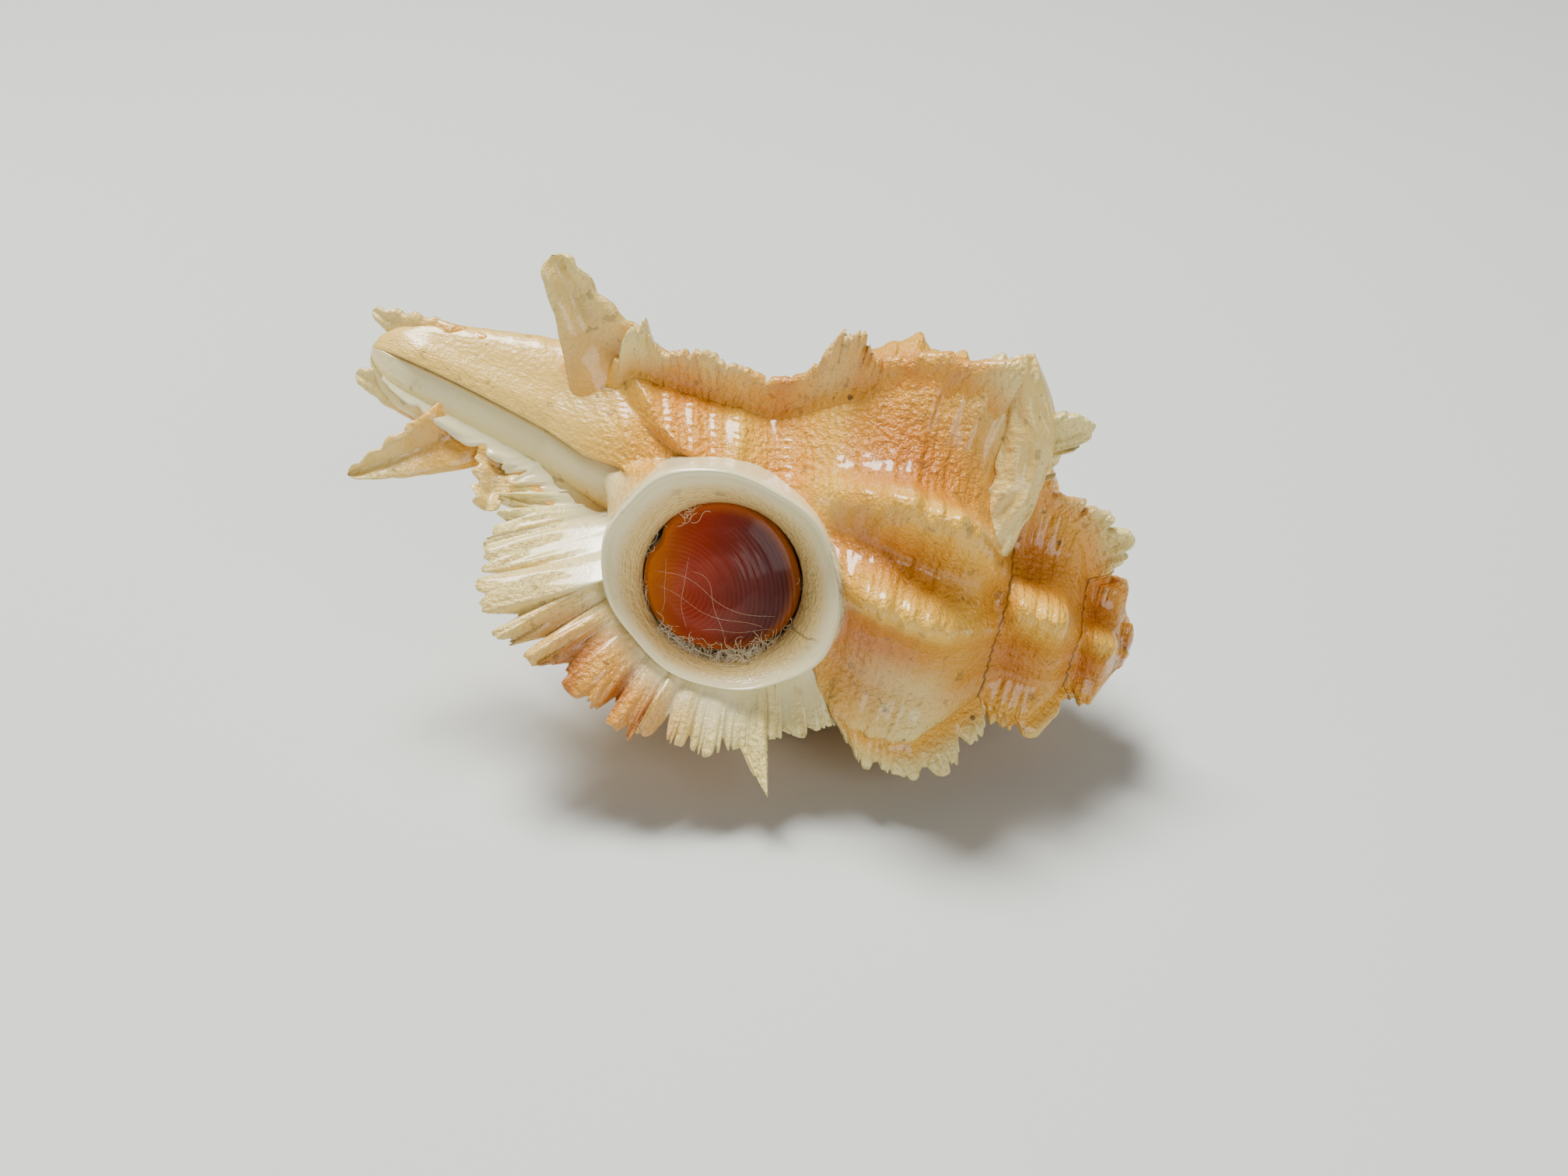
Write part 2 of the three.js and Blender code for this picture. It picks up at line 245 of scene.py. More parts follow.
def lay_down(mesh: bpy.types.Mesh, matrix: Matrix) -> bpy.types.Mesh:
    """Moves a part to its place and takes off what would be under the floor.

    Args:
        mesh: the part's mesh, in millimetres in the shell's own frame.
        matrix: its placement.

    Returns:
        The same mesh, in metres.
    """
    mesh.transform(matrix)
    bm = bmesh.new()
    bm.from_mesh(mesh)
    bmesh.ops.bisect_plane(bm, geom=[*bm.verts, *bm.edges, *bm.faces], dist=1e-7, plane_co=(0, 0, 0),
                           plane_no=(0, 0, 1), clear_inner=True)
    fill_holes(bm)
    ragged = sum(1 for e in bm.edges if not e.is_manifold)
    LOG.info("%s: %d triangles, %d open edges", mesh.name, sum(len(f.verts) - 2 for f in bm.faces), ragged)
    bm.to_mesh(mesh)
    bm.free()
    return mesh


def add_piece(name: str, mesh: bpy.types.Mesh, node: str, material: bpy.types.Material
              ) -> bpy.types.Object:
    """Makes an object of a finished mesh and hands it to the frame.

    Args:
        name: the piece's name.
        mesh: its mesh, in place, in metres.
        node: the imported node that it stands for.
        material: its finish.

    Returns:
        The piece.
    """
    mesh.name = name
    mesh.materials.clear()
    mesh.materials.append(material)
    mesh.shade_smooth()
    piece = put_in_scene(name, mesh)
    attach(piece, "root")
    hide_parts(node)
    LOG.info("%s: %d faces", name, len(mesh.polygons))
    return piece


# ---- materials -----------------------------------------------------------------------------------------------


class Socket:
    """One value in a material, on which Python's own operators add Math nodes."""

    def __init__(self, graph: "Graph", source: Any) -> None:
        """Wraps an output socket of a graph."""
        self.graph = graph
        self.source = source

    def _math(self, operation: str, *others: Any) -> "Socket":
        """Adds a Math node that takes this value first."""
        return self.graph.node("ShaderNodeMath", {"operation": operation}, [self, *others])[0]

    def __add__(self, other: Any) -> "Socket":
        """Sum."""
        return self._math("ADD", other)

    def __sub__(self, other: Any) -> "Socket":
        """Difference."""
        return self._math("SUBTRACT", other)

    def __rsub__(self, other: float) -> "Socket":
        """Difference from a number."""
        return self.graph.node("ShaderNodeMath", {"operation": "SUBTRACT"}, [other, self])[0]

    def __mul__(self, other: Any) -> "Socket":
        """Product."""
        return self._math("MULTIPLY", other)

    __radd__ = __add__
    __rmul__ = __mul__

    def at_most(self, other: Any) -> "Socket":
        """The smaller of two values."""
        return self._math("MINIMUM", other)

    def at_least(self, other: Any) -> "Socket":
        """The larger of two values."""
        return self._math("MAXIMUM", other)

    def ripple(self) -> "Socket":
        """A wave from 0 to 1 that repeats for each turn of the value, in radians."""
        return self._math("SINE") * 0.5 + 0.5

    def step(self, low: float, high: float) -> "Socket":
        """A smooth step from 0 at low to 1 at high."""
        inputs = {"Value": self, "From Min": low, "From Max": high}
        return self.graph.node("ShaderNodeMapRange", {"interpolation_type": "SMOOTHSTEP"}, inputs)[0]


class Graph:
    """A material's node tree, with one method that adds any node."""

    def __init__(self, name: str) -> None:
        """Starts an empty material of this name.

        Args:
            name: the material's name.
        """
        self.material = bpy.data.materials.new(name)
        self.material.use_nodes = True
        self.tree = self.material.node_tree
        self.tree.nodes.clear()

    def node(self, kind: str, settings: Mapping[str, Any] | None = None,
             inputs: Mapping[Any, Any] | Sequence[Any] | None = None) -> list[Socket]:
        """Adds a node.

        Args:
            kind: the node's type.
            settings: properties that are set first.
            inputs: values or links, by socket name or number, or in order.

        Returns:
            Its outputs.
        """
        made = self.tree.nodes.new(kind)
        for key, value in (settings or {}).items():
            setattr(made, key, value)
        pairs = inputs.items() if isinstance(inputs, Mapping) else enumerate(inputs or [])
        for key, value in pairs:
            target = made.inputs[key]
            if isinstance(value, Socket):
                self.tree.links.new(value.source, target)
            else:
                target.default_value = value
        return [Socket(self, output) for output in made.outputs]

    def attribute(self, name: str) -> Socket:
        """A float attribute of the mesh."""
        _, _, factor, *_ = self.node("ShaderNodeAttribute", {"attribute_name": name})
        return factor

    def place(self) -> Socket:
        """Object coordinates, in metres."""
        _, _, _, in_object, *_ = self.node("ShaderNodeTexCoord")
        return in_object

    def speckle(self, vector: Socket, scale: float, detail: float = 3.0, roughness: float = 0.55) -> Socket:
        """Noise from 0 to 1."""
        values = {"Vector": vector, "Scale": scale, "Detail": detail, "Roughness": roughness}
        return self.node("ShaderNodeTexNoise", None, values)[0]

    def cells(self, vector: Socket, scale: float) -> Socket:
        """Distance to the nearest of scattered points."""
        return self.node("ShaderNodeTexVoronoi", None, {"Vector": vector, "Scale": scale})[0]

    def mix(self, factor: Any, first: Any, second: Any, blend: str = "MIX") -> Socket:
        """A mix of two colours.

        Args:
            factor: share of the second colour.
            first: the colour underneath.
            second: the colour laid over it.
            blend: how the two are blended.

        Returns:
            The mixed colour.
        """
        settings = {"data_type": "RGBA", "blend_type": blend, "clamp_factor": True}
        _, _, colour, *_ = self.node("ShaderNodeMix", settings, {0: factor, 6: first, 7: second})
        return colour

    def bump(self, height: Socket, distance: float) -> Socket:
        """A surface normal from a height, whose unit is the distance in metres."""
        return self.node("ShaderNodeBump", None, {"Height": height, "Distance": distance})[0]

    def finish(self, inputs: Mapping[str, Any]) -> bpy.types.Material:
        """Closes the material with a Principled shader.

        Args:
            inputs: the shader's values and links.

        Returns:
            The material.
        """
        shader = self.node("ShaderNodeBsdfPrincipled", None, inputs)[0]
        self.node("ShaderNodeOutputMaterial", None, {"Surface": shader})
        return self.material


def tone(red: int, green: int, blue: int) -> Colour:
    """Linear colour from an everyday one of 0 to 255."""
    linear = [((c / 255 + 0.055) / 1.055) ** 2.4 if c > 10 else c / 3295 for c in (red, green, blue)]
    return (*linear, 1.0)


GREY = (0.5, 0.5, 0.5, 1.0)


@dataclass(frozen=True)
class ShellFinish:
    """Chalky shell: peach with painted orange-brown shade in its hollows, creamy nodes, white frills and a
    porcelain rim; the same brown also colours a brown patch on the lip's frill.
    """

    peach: Colour = tone(232, 155, 20)
    orange: Colour = tone(218, 122, 8)
    # brown is the colour of the painted shade in hollows, creases, slits and channels, and of the brown patch on
    # the lip's frill.
    brown: Colour = tone(176, 90, 2)
    cream: Colour = tone(242, 194, 70)
    chalk: Colour = tone(238, 222, 146)
    porcelain: Colour = tone(234, 226, 188)
    dirt: Colour = tone(52, 38, 26)
    roughness: float = 0.36
    relief_height: float = 0.00009
    cords: float = 5.0
    threads: float = 15.0
    broad_noise: float = 190.0
    medium_noise: float = 620.0
    fine_noise: float = 2600.0
    grain_noise: float = 5200.0
    grime_noise: float = 1500.0
    spot_spread: float = 700.0

    def material(self) -> bpy.types.Material:
        """Builds the material from the shell's own attributes and object coordinates.

        Returns:
            The material.
        """
        g = Graph("shell_finish")
        place = g.place()
        cord, growth, node, hollow, frill, rim, band, calm = (g.attribute(name) for name in (
            "cord", "growth", "node", "hollow", "frill", "rim", "band", "calm"))
        broad = g.speckle(place, self.broad_noise, 4.0)
        medium = g.speckle(place, self.medium_noise, 4.0, 0.65)
        fine = g.speckle(place, self.fine_noise, 3.0, 0.6)
        grain = g.speckle(place, self.grain_noise, 2.0, 0.5)
        threads, primary = (cord * (TURN * self.threads)).ripple(), (cord * (TURN * self.cords)).ripple()
        across_scales = g.node("ShaderNodeCombineXYZ", None, [growth * 1.9, cord * self.threads])[0]
        scales = g.cells(across_scales, 1.0)
        body = g.mix(band * (0.55 + broad * 0.7), self.peach, self.orange)
        body = g.mix((broad - 0.32).step(0.05, 0.35) * 0.45, body, self.cream)
        body = g.mix(node * (0.62 + medium * 0.4), body, self.cream)
        # Painted shade: brown laid into hollows, creases, slits and channels, with a brown patch on the lip's
        # frill.
        body = g.mix((hollow * 1.05 * (0.45 + broad * 0.8)).at_most(0.9), body, self.brown)
        body = g.mix((threads * 0.05 + primary * 0.05) * broad, body, self.cream)
        body = g.mix((cord - 2.9).step(0.0, 1.0) * 0.55, body, self.cream)
        pale = (frill * (1.05 - band * 0.75)).at_most(1.0)
        body = g.mix(pale * (0.72 + medium * 0.35), body, self.chalk)
        body = g.mix(rim, body, g.mix(medium * 0.5, self.porcelain, self.chalk))
        grime = (g.speckle(place, self.grime_noise, 2.0) - 0.66).step(0.0, 0.03)
        spots = (0.10 - g.cells(place, self.spot_spread)).step(0.0, 0.05) * (broad - 0.45).step(0.0, 0.12)
        body = g.mix((grime * 0.35).at_least(spots * 0.75) * (1.0 - rim * 0.8), body, self.dirt)
        body = g.mix(fine * 0.5, body, GREY, "OVERLAY")
        rough_skin = (1.0 - rim * 0.93) * (1.0 - calm * 0.7)
        relief = threads * 0.12 + (0.9 - scales) * 0.6 + fine * 1.1 + medium * 0.6 + grain * 1.2
        gloss = self.roughness - rim * 0.16 + (fine - 0.5) * 0.18 - (1.0 - scales) * 0.08
        return g.finish({
            "Base Color": body, "Roughness": gloss, "Normal": g.bump(relief * rough_skin, self.relief_height),
            "Specular IOR Level": 0.42, "Subsurface Weight": 0.03, "Subsurface Scale": 1.0,
            "Subsurface Radius": (0.0008, 0.0007, 0.0005), "Coat Weight": 0.6, "Coat Roughness": 0.12,
        })


@dataclass(frozen=True)
class HornFinish:
    """Horny operculum: amber edge, orange-red middle and one nearly black side, with growth arcs."""

    amber: Colour = tone(198, 108, 4)
    red: Colour = tone(150, 40, 4)
    dark: Colour = tone(66, 6, 4)
    arcs: float = 5.5
    relief_height: float = 0.00005
    broad_noise: float = 420.0
    fine_noise: float = 2400.0

    def material(self) -> bpy.types.Material:
        """Builds the material from the plate's own attributes.

        Returns:
            The material.
        """
        g = Graph("horn_finish")
        place = g.place()
        arc, shade, edge = (g.attribute(name) for name in ("arc", "shade", "edge"))
        broad = g.speckle(place, self.broad_noise)
        fine = g.speckle(place, self.fine_noise)
        lines = (arc * (TURN * self.arcs) + broad * 2.0).ripple()
        body = g.mix((shade + (broad - 0.5) * 0.35).step(0.35, 0.85), self.red, self.dark)
        body = g.mix((0.42 - shade + (broad - 0.5) * 0.25).step(0.0, 0.42), body, self.amber)
        body = g.mix(edge.step(0.8, 1.0) * 0.6, body, self.amber)
        body = g.mix(lines * shade.step(0.45, 0.8) * 0.16, body, self.red)
        normal = g.bump(lines * shade * 0.5 + fine * 0.5, self.relief_height)
        return g.finish({"Base Color": body, "Roughness": 0.3 + fine * 0.25, "Normal": normal,
                         "Specular IOR Level": 0.3, "Coat Weight": 0.16, "Coat Roughness": 0.1})


@dataclass(frozen=True)
class CottonFinish:
    """Off-white cotton, a little dusty."""

    clean: Colour = tone(246, 236, 208)
    dusty: Colour = tone(228, 204, 152)
    relief_height: float = 0.00005
    patch_noise: float = 900.0
    fibre_noise: float = 6000.0

    def material(self) -> bpy.types.Material:
        """Builds the material from noise in object coordinates.

        Returns:
            The material.
        """
        g = Graph("cotton_finish")
        place = g.place()
        patches = g.speckle(place, self.patch_noise)
        fibres = g.speckle(place, self.fibre_noise, 2.0)
        colour = g.mix(patches.step(0.35, 0.7), self.clean, self.dusty)
        return g.finish({"Base Color": colour, "Roughness": 0.85 + patches * 0.1,
                         "Normal": g.bump(fibres, self.relief_height), "Sheen Weight": 0.3})


@dataclass(frozen=True)
class FloorFinish:
    """Plain pale table."""

    pale: Colour = tone(206, 212, 210)
    paler: Colour = tone(212, 218, 216)
    mottle_noise: float = 14.0

    def material(self) -> bpy.types.Material:
        """Builds the material with a very faint mottling.

        Returns:
            The material.
        """
        g = Graph("floor_finish")
        mottle = g.speckle(g.place(), self.mottle_noise, 2.0)
        return g.finish({"Base Color": g.mix(mottle, self.pale, self.paler), "Roughness": 0.6 + mottle * 0.1})


# ---- the shell's form ----------------------------------------------------------------------------------------


@dataclass(frozen=True)
class Pose:
    """How the shell lies: the canal's end tilted up, and the ventral side rolled up from the horizontal."""

    tilt: float = 19.0
    roll: float = 29.5

    def turn(self) -> Matrix:
        """Rotation from the shell's own frame to the row frame.

        Returns:
            The rotation, 3 x 3.
        """
        tilt, roll = math.radians(self.tilt), math.radians(self.roll)
        along_axis = Vector((math.cos(tilt), 0, -math.sin(tilt)))
        to_front = Vector((0, -1, 0))
        to_ground = Vector((-math.sin(tilt), 0, -math.cos(tilt)))
        ventral = to_front * math.cos(roll) - to_ground * math.sin(roll)
        lip_side = to_front * math.sin(roll) + to_ground * math.cos(roll)
        return Matrix((ventral, lip_side, along_axis)).transposed()

    def matrix(self, known_point: Vector, its_place: Vector) -> Matrix:
        """Placement that takes a point of the shell's own frame, in millimetres, to its place in metres."""
        scaled = self.turn() * MM
        return Matrix.Translation(its_place - scaled @ known_point) @ scaled.to_4x4()


class Side(Enum):
    """Which face of a frill a point lies on."""

    FRONT = -1
    BACK = 1


@dataclass(frozen=True)
class Ray:
    """One fold of a frill: where its foot is on the axis, how long it is and how far it leans to the apex."""

    z: float
    length: float
    lean: float


def rays(*rows: Point) -> tuple[Ray, ...]:
    """Rays from (z, length, lean) rows."""
    return tuple(Ray(*row) for row in rows)


@dataclass(frozen=True)
class Varix:
    """A varix and its frill, from the canal to the apex, at one angle round the axis.

    The frill's foot reaches `front` and `back` degrees either side of the varix's angle.  `fold`, `curl`, `edge`
    and `gap` are millimetres: the folds' height, how far the edge bends back, half its thickness, and how deep the
    gaps between its fingers are.  It is hardly folded between the two heights of `calm`.
    """

    name: str
    angle: float
    front: float
    back: float
    rays: tuple[Ray, ...]
    per_ray: int
    face_columns: int
    seed: int
    fold: float = 0.16
    curl: float = 0.3
    edge: float = 0.10
    gap: float = 0.8
    calm: Station = (0.0, 0.0)
    full_length: float = 2.2

    def in_calm(self, ray: Ray) -> bool:
        """Whether a ray is on the stretch where the frill is hardly folded."""
        return self.calm[0] < ray.z < self.calm[1]

    def gaps(self) -> list[Point]:
        """The gaps between the frill's fingers.

        Returns:
            Place of each counted in rays, its depth in millimetres and its width in rays.
        """
        chance = np.random.default_rng(self.seed)
        found = []
        for index, ray in enumerate(self.rays):
            gap = self.gap * (0.35 if self.in_calm(ray) else 1.0)
            width = chance.uniform(0.07, 0.15)
            found.append((index + 0.5 + chance.uniform(-0.22, 0.22), gap * chance.uniform(0.5, 1.9), width))
            found.append((index + chance.uniform(-0.2, 0.2), gap * chance.uniform(0.0, 0.6), 0.05))
            for offset in (-0.36, -0.22, 0.24, 0.37):
                place = index + offset + chance.uniform(-0.08, 0.08)
                found.append((place, self.gap * chance.uniform(0.0, 0.42), 0.035))
        return found

    def along(self, phase: Array) -> tuple[Array, Array, Array]:
        """The frill's line at places along it.

        Args:
            phase: the places, counted in rays.

        Returns:
            Foot height, length and lean there.
        """
        index = range(len(self.rays))
        z, length, lean = (np.interp(phase, index, [getattr(ray, part) for ray in self.rays])
                           for part in ("z", "length", "lean"))
        sway = 5.0 * np.sin(phase * 2.3 + self.seed) + 3.5 * np.sin(phase * 5.1)
        lean = lean + (1 - self.is_calm(z)) * sway
        share = np.clip(length / self.full_length, 0.12, 1.0)
        for place, depth, width in self.gaps():
            length = length - depth * share * bell((phase - place) / width)
        return z, np.clip(length, 0.02, None), lean

    def is_calm(self, z: Array) -> Array:
        """1 along the stretch where the frill is hardly folded."""
        low, high = self.calm
        return plateau((low - 0.7, low + 0.3), (high - 0.3, high + 0.7), z) * (high > low)

    def strength(self, phase: Array) -> Array:
        """How strongly the frill is folded at each ray.

        Args:
            phase: places along the frill, counted in rays.

        Returns:
            About 1 where it is fully folded.
        """
        chance = np.random.default_rng(self.seed + 50)
        strengths = chance.uniform(0.2, 1.35, len(self.rays))
        strengths *= [0.25 if self.in_calm(ray) else 1.0 for ray in self.rays]
        return np.interp(phase, range(len(self.rays)), strengths)


@dataclass(frozen=True)
class Aperture:
    """The aperture's oval plane, the rim round it and the smaller oval of the recess inside it."""

    z: float = 16.3
    across: float = 2.1
    lean: float = 10.0
    half_length: float = 4.6
    half_width: float = 3.95
    distance: float = 5.2
    facing: float = 11.0
    inner_length: float = 3.0
    inner_width: float = 2.95
    inner_shift: Station = (0.1, 0.45)
    floor: float = 3.4
    wall_drop: float = 0.25
    wall_from: float = 0.97
    wall_slope: float = 13.0
    bowl_from: float = 0.98
    bowl_slope: float = 16.0
    bowl_depth: float = 3.2

    def level_axes(self) -> tuple[Vector, Vector]:
        """Unit vectors out of the plane and across it, both square to the shell's axis."""
        cosine, sine = math.cos(math.radians(self.facing)), math.sin(math.radians(self.facing))
        return Vector((cosine, sine, 0)), Vector((-sine, cosine, 0))

    def axes(self) -> tuple[Vector, Vector, Vector]:
        """Unit vectors along the oval, across it towards the lip, and out of it.

        Returns:
            The three vectors.
        """
        cosine, sine = math.cos(math.radians(self.lean)), math.sin(math.radians(self.lean))
        outward, across = self.level_axes()
        up = Vector((0, 0, 1))
        return up * cosine + across * sine, across * cosine - up * sine, outward

    def centre(self) -> Vector:
        """The oval's centre in the shell's own frame."""
        outward, across = self.level_axes()
        return outward * self.distance + across * self.across + Vector((0, 0, self.z))

    def out(self, along: Array, across: Array, height: Array) -> Array:
        """Points from millimetres along, across and out of the aperture's plane."""
        parts = np.stack(np.broadcast_arrays(along, across, height), axis=-1)
        return np.array(self.centre()) + parts @ np.array(self.axes())

    def in_recess(self, along: Array, across: Array, height: Array) -> Array:
        """The same, with the millimetres counted from the middle of the recess."""
        shift_along, shift_across = self.inner_shift
        return self.out(along + shift_along, across + shift_across, height)

    def recess_matrix(self) -> Matrix:
        """Placement of the recess's own plane in the shell's frame.

        Returns:
            The placement, 4 x 4.
        """
        along, side, outward = self.axes()
        placed = Matrix((along, side, outward)).transposed().to_4x4()
        placed.translation = self.centre() + along * self.inner_shift[0] + side * self.inner_shift[1]
        return placed

    def ring(self, turn: Array, reach: Array, wobble: Array | float = 1.0, size: Array | float = 1.0
             ) -> tuple[Array, Array]:
        """Places between the recess's oval and the rim's outer edge.

        Args:
            turn: way round the ovals, in radians.
            reach: 0 on the recess's oval and 1 on the rim's outer edge.
            wobble: what the outer oval is multiplied by.
            size: what the recess's oval is multiplied by.

        Returns:
            Millimetres along and across the aperture's plane.
        """
        inner_along = self.inner_shift[0] + self.inner_length * np.cos(turn) * size
        inner_across = self.inner_shift[1] + self.inner_width * np.sin(turn) * size
        along = inner_along + (self.half_length * np.cos(turn) * wobble - inner_along) * reach
        across = inner_across + (self.half_width * np.sin(turn) * wobble - inner_across) * reach
        return along, across

    def oval(self, angle: Array, z: Array) -> tuple[Array, Array]:
        """Where a ray from the axis meets the aperture's plane.

        Args:
            angle: angle round the shell's axis, in degrees.
            z: height on the axis.

        Returns:
            The oval's own radius there, 1 on its outer edge, and the ray's length to the plane.
        """
        from_facing = signed(angle - self.facing)
        turned = np.radians(np.clip(from_facing, -75, 75))
        across = self.distance * np.tan(turned) - self.across
        along = z - self.z
        lean = math.radians(self.lean)
        u = (along * math.cos(lean) + across * math.sin(lean)) / self.half_length
        v = (across * math.cos(lean) - along * math.sin(lean)) / self.half_width
        return np.where(np.abs(from_facing) > 70, 9.0, np.hypot(u, v)), self.distance / np.cos(turned)

    def wall(self, oval: Array, reach: Array) -> Array:
        """The shell's surface under the rim, which falls to a bowl inside the rim and steeply outside it.

        Args:
            oval: the oval's own radius, 1 on its outer edge.
            reach: a ray's length from the axis to the aperture's plane.

        Returns:
            The surface's distance from the axis along the ray.
        """
        beyond = np.clip(oval - self.wall_from, 0, None)
        bowl = np.clip(self.bowl_slope * np.clip(self.bowl_from - oval, 0, None), 0, self.bowl_depth)
        return reach * (self.distance - self.wall_drop - self.wall_slope * beyond - bowl) / self.distance


@dataclass(frozen=True)
class Whorls:
    """The coiled tube: every size is a function of how many turns before the lip the place grew."""

    length: float = 32.0
    body_radius: float = 7.9
    body_drop: float = 4.95
    lip_angle: float = 60.0
    varix_swelling: float = 0.13
    node_height: float = 0.31
    turn_growth: float = 1.75
    virtual_apex: float = 33.9
    lip_suture: float = 12.2
    apex_dome: float = 1.1
    canal_start: float = 0.5
    canal_end: float = 2.0
    suture_share: float = 0.54
    passes: int = 4
    spire_from: float = 1.02
    ridge_pair: Station = (0.385, 0.61)
    pair_width: float = 0.068
    single_width: float = 0.11
    columella: tuple[Station, ...] = ((15, 3.6), (18, 3.2), (24, 1))

    def suture(self, turns: Array) -> Array:
        """Height on the axis of the suture above a whorl."""
        return self.virtual_apex - self.lip_suture * self.turn_growth ** (-turns)

    def drop(self, turns: Array) -> Array:
        """From the suture down to the whorl's widest line."""
        return self.body_drop / (1 + (turns / 1.75) ** 2.6)

    def shoulder(self, turns: Array) -> Array:
        """Radius of the whorl at its widest."""
        return self.body_radius / (1 + (turns / 1.9) ** 2.2)

    def varix_share(self, turns: Array) -> Array:
        """How full a varix makes the whorl: it swells slowly from the older side and falls away in front.

        Args:
            turns: turns before the lip.

        Returns:
            1 on a varix and 0 between two.
        """
        third = turns * 3
        behind = (third - np.rint(third)) * 120
        return bell(behind / np.where(behind > 0, 15, 9))

    def radius(self, turns: Array, z: Array) -> Array:
        """Outer radius of one whorl.

        Args:
            turns: turns before the lip.
            z: height on the axis.

        Returns:
            The radius, from above the suture to below the widest line.
        """
        top, drop = self.suture(turns), self.drop(turns)
        widest = self.shoulder(turns) * (1 + self.varix_swelling * self.varix_share(turns))
        middle = top - drop
        above = widest * self.suture_share * (1 - ((z - top) / (0.3 * drop)) ** 2)
        rise = share_of((z - middle) / drop)
        upper = widest * (1 - (1 - self.suture_share) * rise ** 2.4)
        below = np.clip((middle - z) / (1.3 * drop), 0, None)
        lower = widest * (0.1 + 0.9 * np.exp(-(below ** 1.7)))
        return np.where(z > top, above, np.where(z > middle, upper, lower))

    def wave(self, turns: Array) -> Array:
        """How near a place is to the crest of an axial ridge: two between varices, or one on the spire.

        Args:
            turns: turns before the lip.

        Returns:
            The share, 1 on a crest.
        """
        share = (turns * 3) % 1.0
        pair = sum(bell((share - place) / self.pair_width) for place in self.ridge_pair)
        single = bell((share - 0.5) / self.single_width)
        varix = bell(share / 0.1) + bell((share - 1) / 0.06)
        return share_of(np.where(turns < self.spire_from, pair, single) + 0.45 * varix)

    def nodes(self, turns: Array, z: Array) -> Array:
        """Height of the rounded ridges on the shoulder as a share of the radius, below 0 in the hollows.

        Args:
            turns: turns before the lip.
            z: height on the axis.

        Returns:
            The share of the radius.
        """
        drop = self.drop(turns)
        on_shoulder = (z - self.suture(turns) + 0.9 * drop) / (0.72 * drop)
        knob = 1 + 0.34 * bell((on_shoulder - 0.55) / 0.3) - 0.15 * bell((on_shoulder - 0.1) / 0.25)
        knob = knob + 0.07 * np.sin(11 * on_shoulder + 7 * turns)
        on_spire = smooth(0.98, 1.1, turns)
        return self.node_height * (1 + 0.7 * on_spire) * (self.wave(turns) * knob - 0.32) * bell(on_shoulder)

    def canal(self, angle: Array, z: Array) -> Array:
        """Radius of the siphonal canal and the columella, a flattened oval.

        Args:
            angle: angle round the shell's axis, in degrees.
            z: height on the axis.

        Returns:
            The radius, in millimetres.
        """
        below = straight([(0, 1.2), (1.5, 1.7), (4.8, 2.15), (8, 2.3), (11, 2.75), *self.columella], z)
        above = straight([(0, 1.1), (1.5, 1.5), (3.4, 2.05), (6.4, 2.85), (8.5, 3.2), *self.columella], z)
        deep = straight([(0, 0.5), (1.5, 0.75), (4.8, 1.0), (8, 1.35), (11, 2.4), (13, 3.1), *self.columella], z)
        turned = np.radians(angle)
        broad = np.where(np.sin(turned) < 0, above, below)
        return broad * deep / np.hypot(deep * np.sin(turned), broad * np.cos(turned))

    def ends(self, z: Array) -> Array:
        """Share of the radius left by the rounding of the canal's end and of the apex.

        Args:
            z: height on the axis.

        Returns:
            The share, 1 away from the ends.
        """
        to_apex = share_of((z - self.length + self.apex_dome) / self.apex_dome)
        to_canal = share_of(1 - (z - self.canal_start) / self.canal_end)
        return np.sqrt(1 - to_apex ** 2) * np.sqrt(1 - to_canal ** 2)

    def turns(self, angle: Array) -> Array:
        """Turns before the lip, from 0 to 1, of an angle on the last whorl."""
        return ((angle - self.lip_angle) / 360 + 2) % 1

    def age(self, angle: Array, z: Array) -> Array:
        """Turns before the lip of the whorl that shows at a place.

        Args:
            angle: angle round the shell's axis, in degrees.
            z: height on the axis.

        Returns:
            The turns, 0 at the lip.
        """
        turns = self.turns(angle)
        age = np.broadcast_to(turns, np.broadcast(turns, z).shape).copy()
        for whorl in range(1, self.passes):
            age = np.where(z > self.suture(age), turns + whorl, age)
        return age

    def cord(self, age: Array, z: Array) -> Array:
        """Place across the whorl: 0 at the suture, 1 on the widest line and more towards the canal."""
        return (self.suture(age) - z) / self.drop(age)

    def growth(self, age: Array) -> Array:
        """Millimetres grown along the whorl since a place was at the lip."""
        return TURN * self.body_radius * (age - age ** 2 * 0.14)


@dataclass(frozen=True)
class Blade:
    """A flattened, channelled prong: (radius, angle, z) points from foot to tip and its width at each.

    `thickness`, `channel` (its hollow's depth) and `fold` (the height of its long folds) are millimetres.  `pale`
    says how white it is, `foot_pale` how far the white reaches its foot, and `ragged` how uneven its edges are.
    """

    path: tuple[Point, ...]
    width: tuple[float, ...]
    thickness: float
    channel: float
    pale: float = 0.6
    ragged: float = 0.1
    foot_pale: float = 0.0
    fold: float = 0.0


def rounded_wave(phase: Array) -> Array:
    """A wave from -1 to 1 with broad crests, one for each 1 of the phase."""
    ridge = np.cos(TURN * phase)
    return np.sign(ridge) * np.abs(ridge) ** 0.8


FINISH_VALUES = ("cord", "growth", "node", "hollow", "frill", "rim", "band", "calm")


def finish_values(like: Array, **given: Array | float) -> Values:
    """What the shell's finish reads at some points.

    Args:
        like: an array with one value a point.
        given: the values that aren't 0 everywhere.

    Returns:
        All the values.
    """
    return {name: np.zeros(like.shape) + given.get(name, 0.0) for name in FINISH_VALUES}


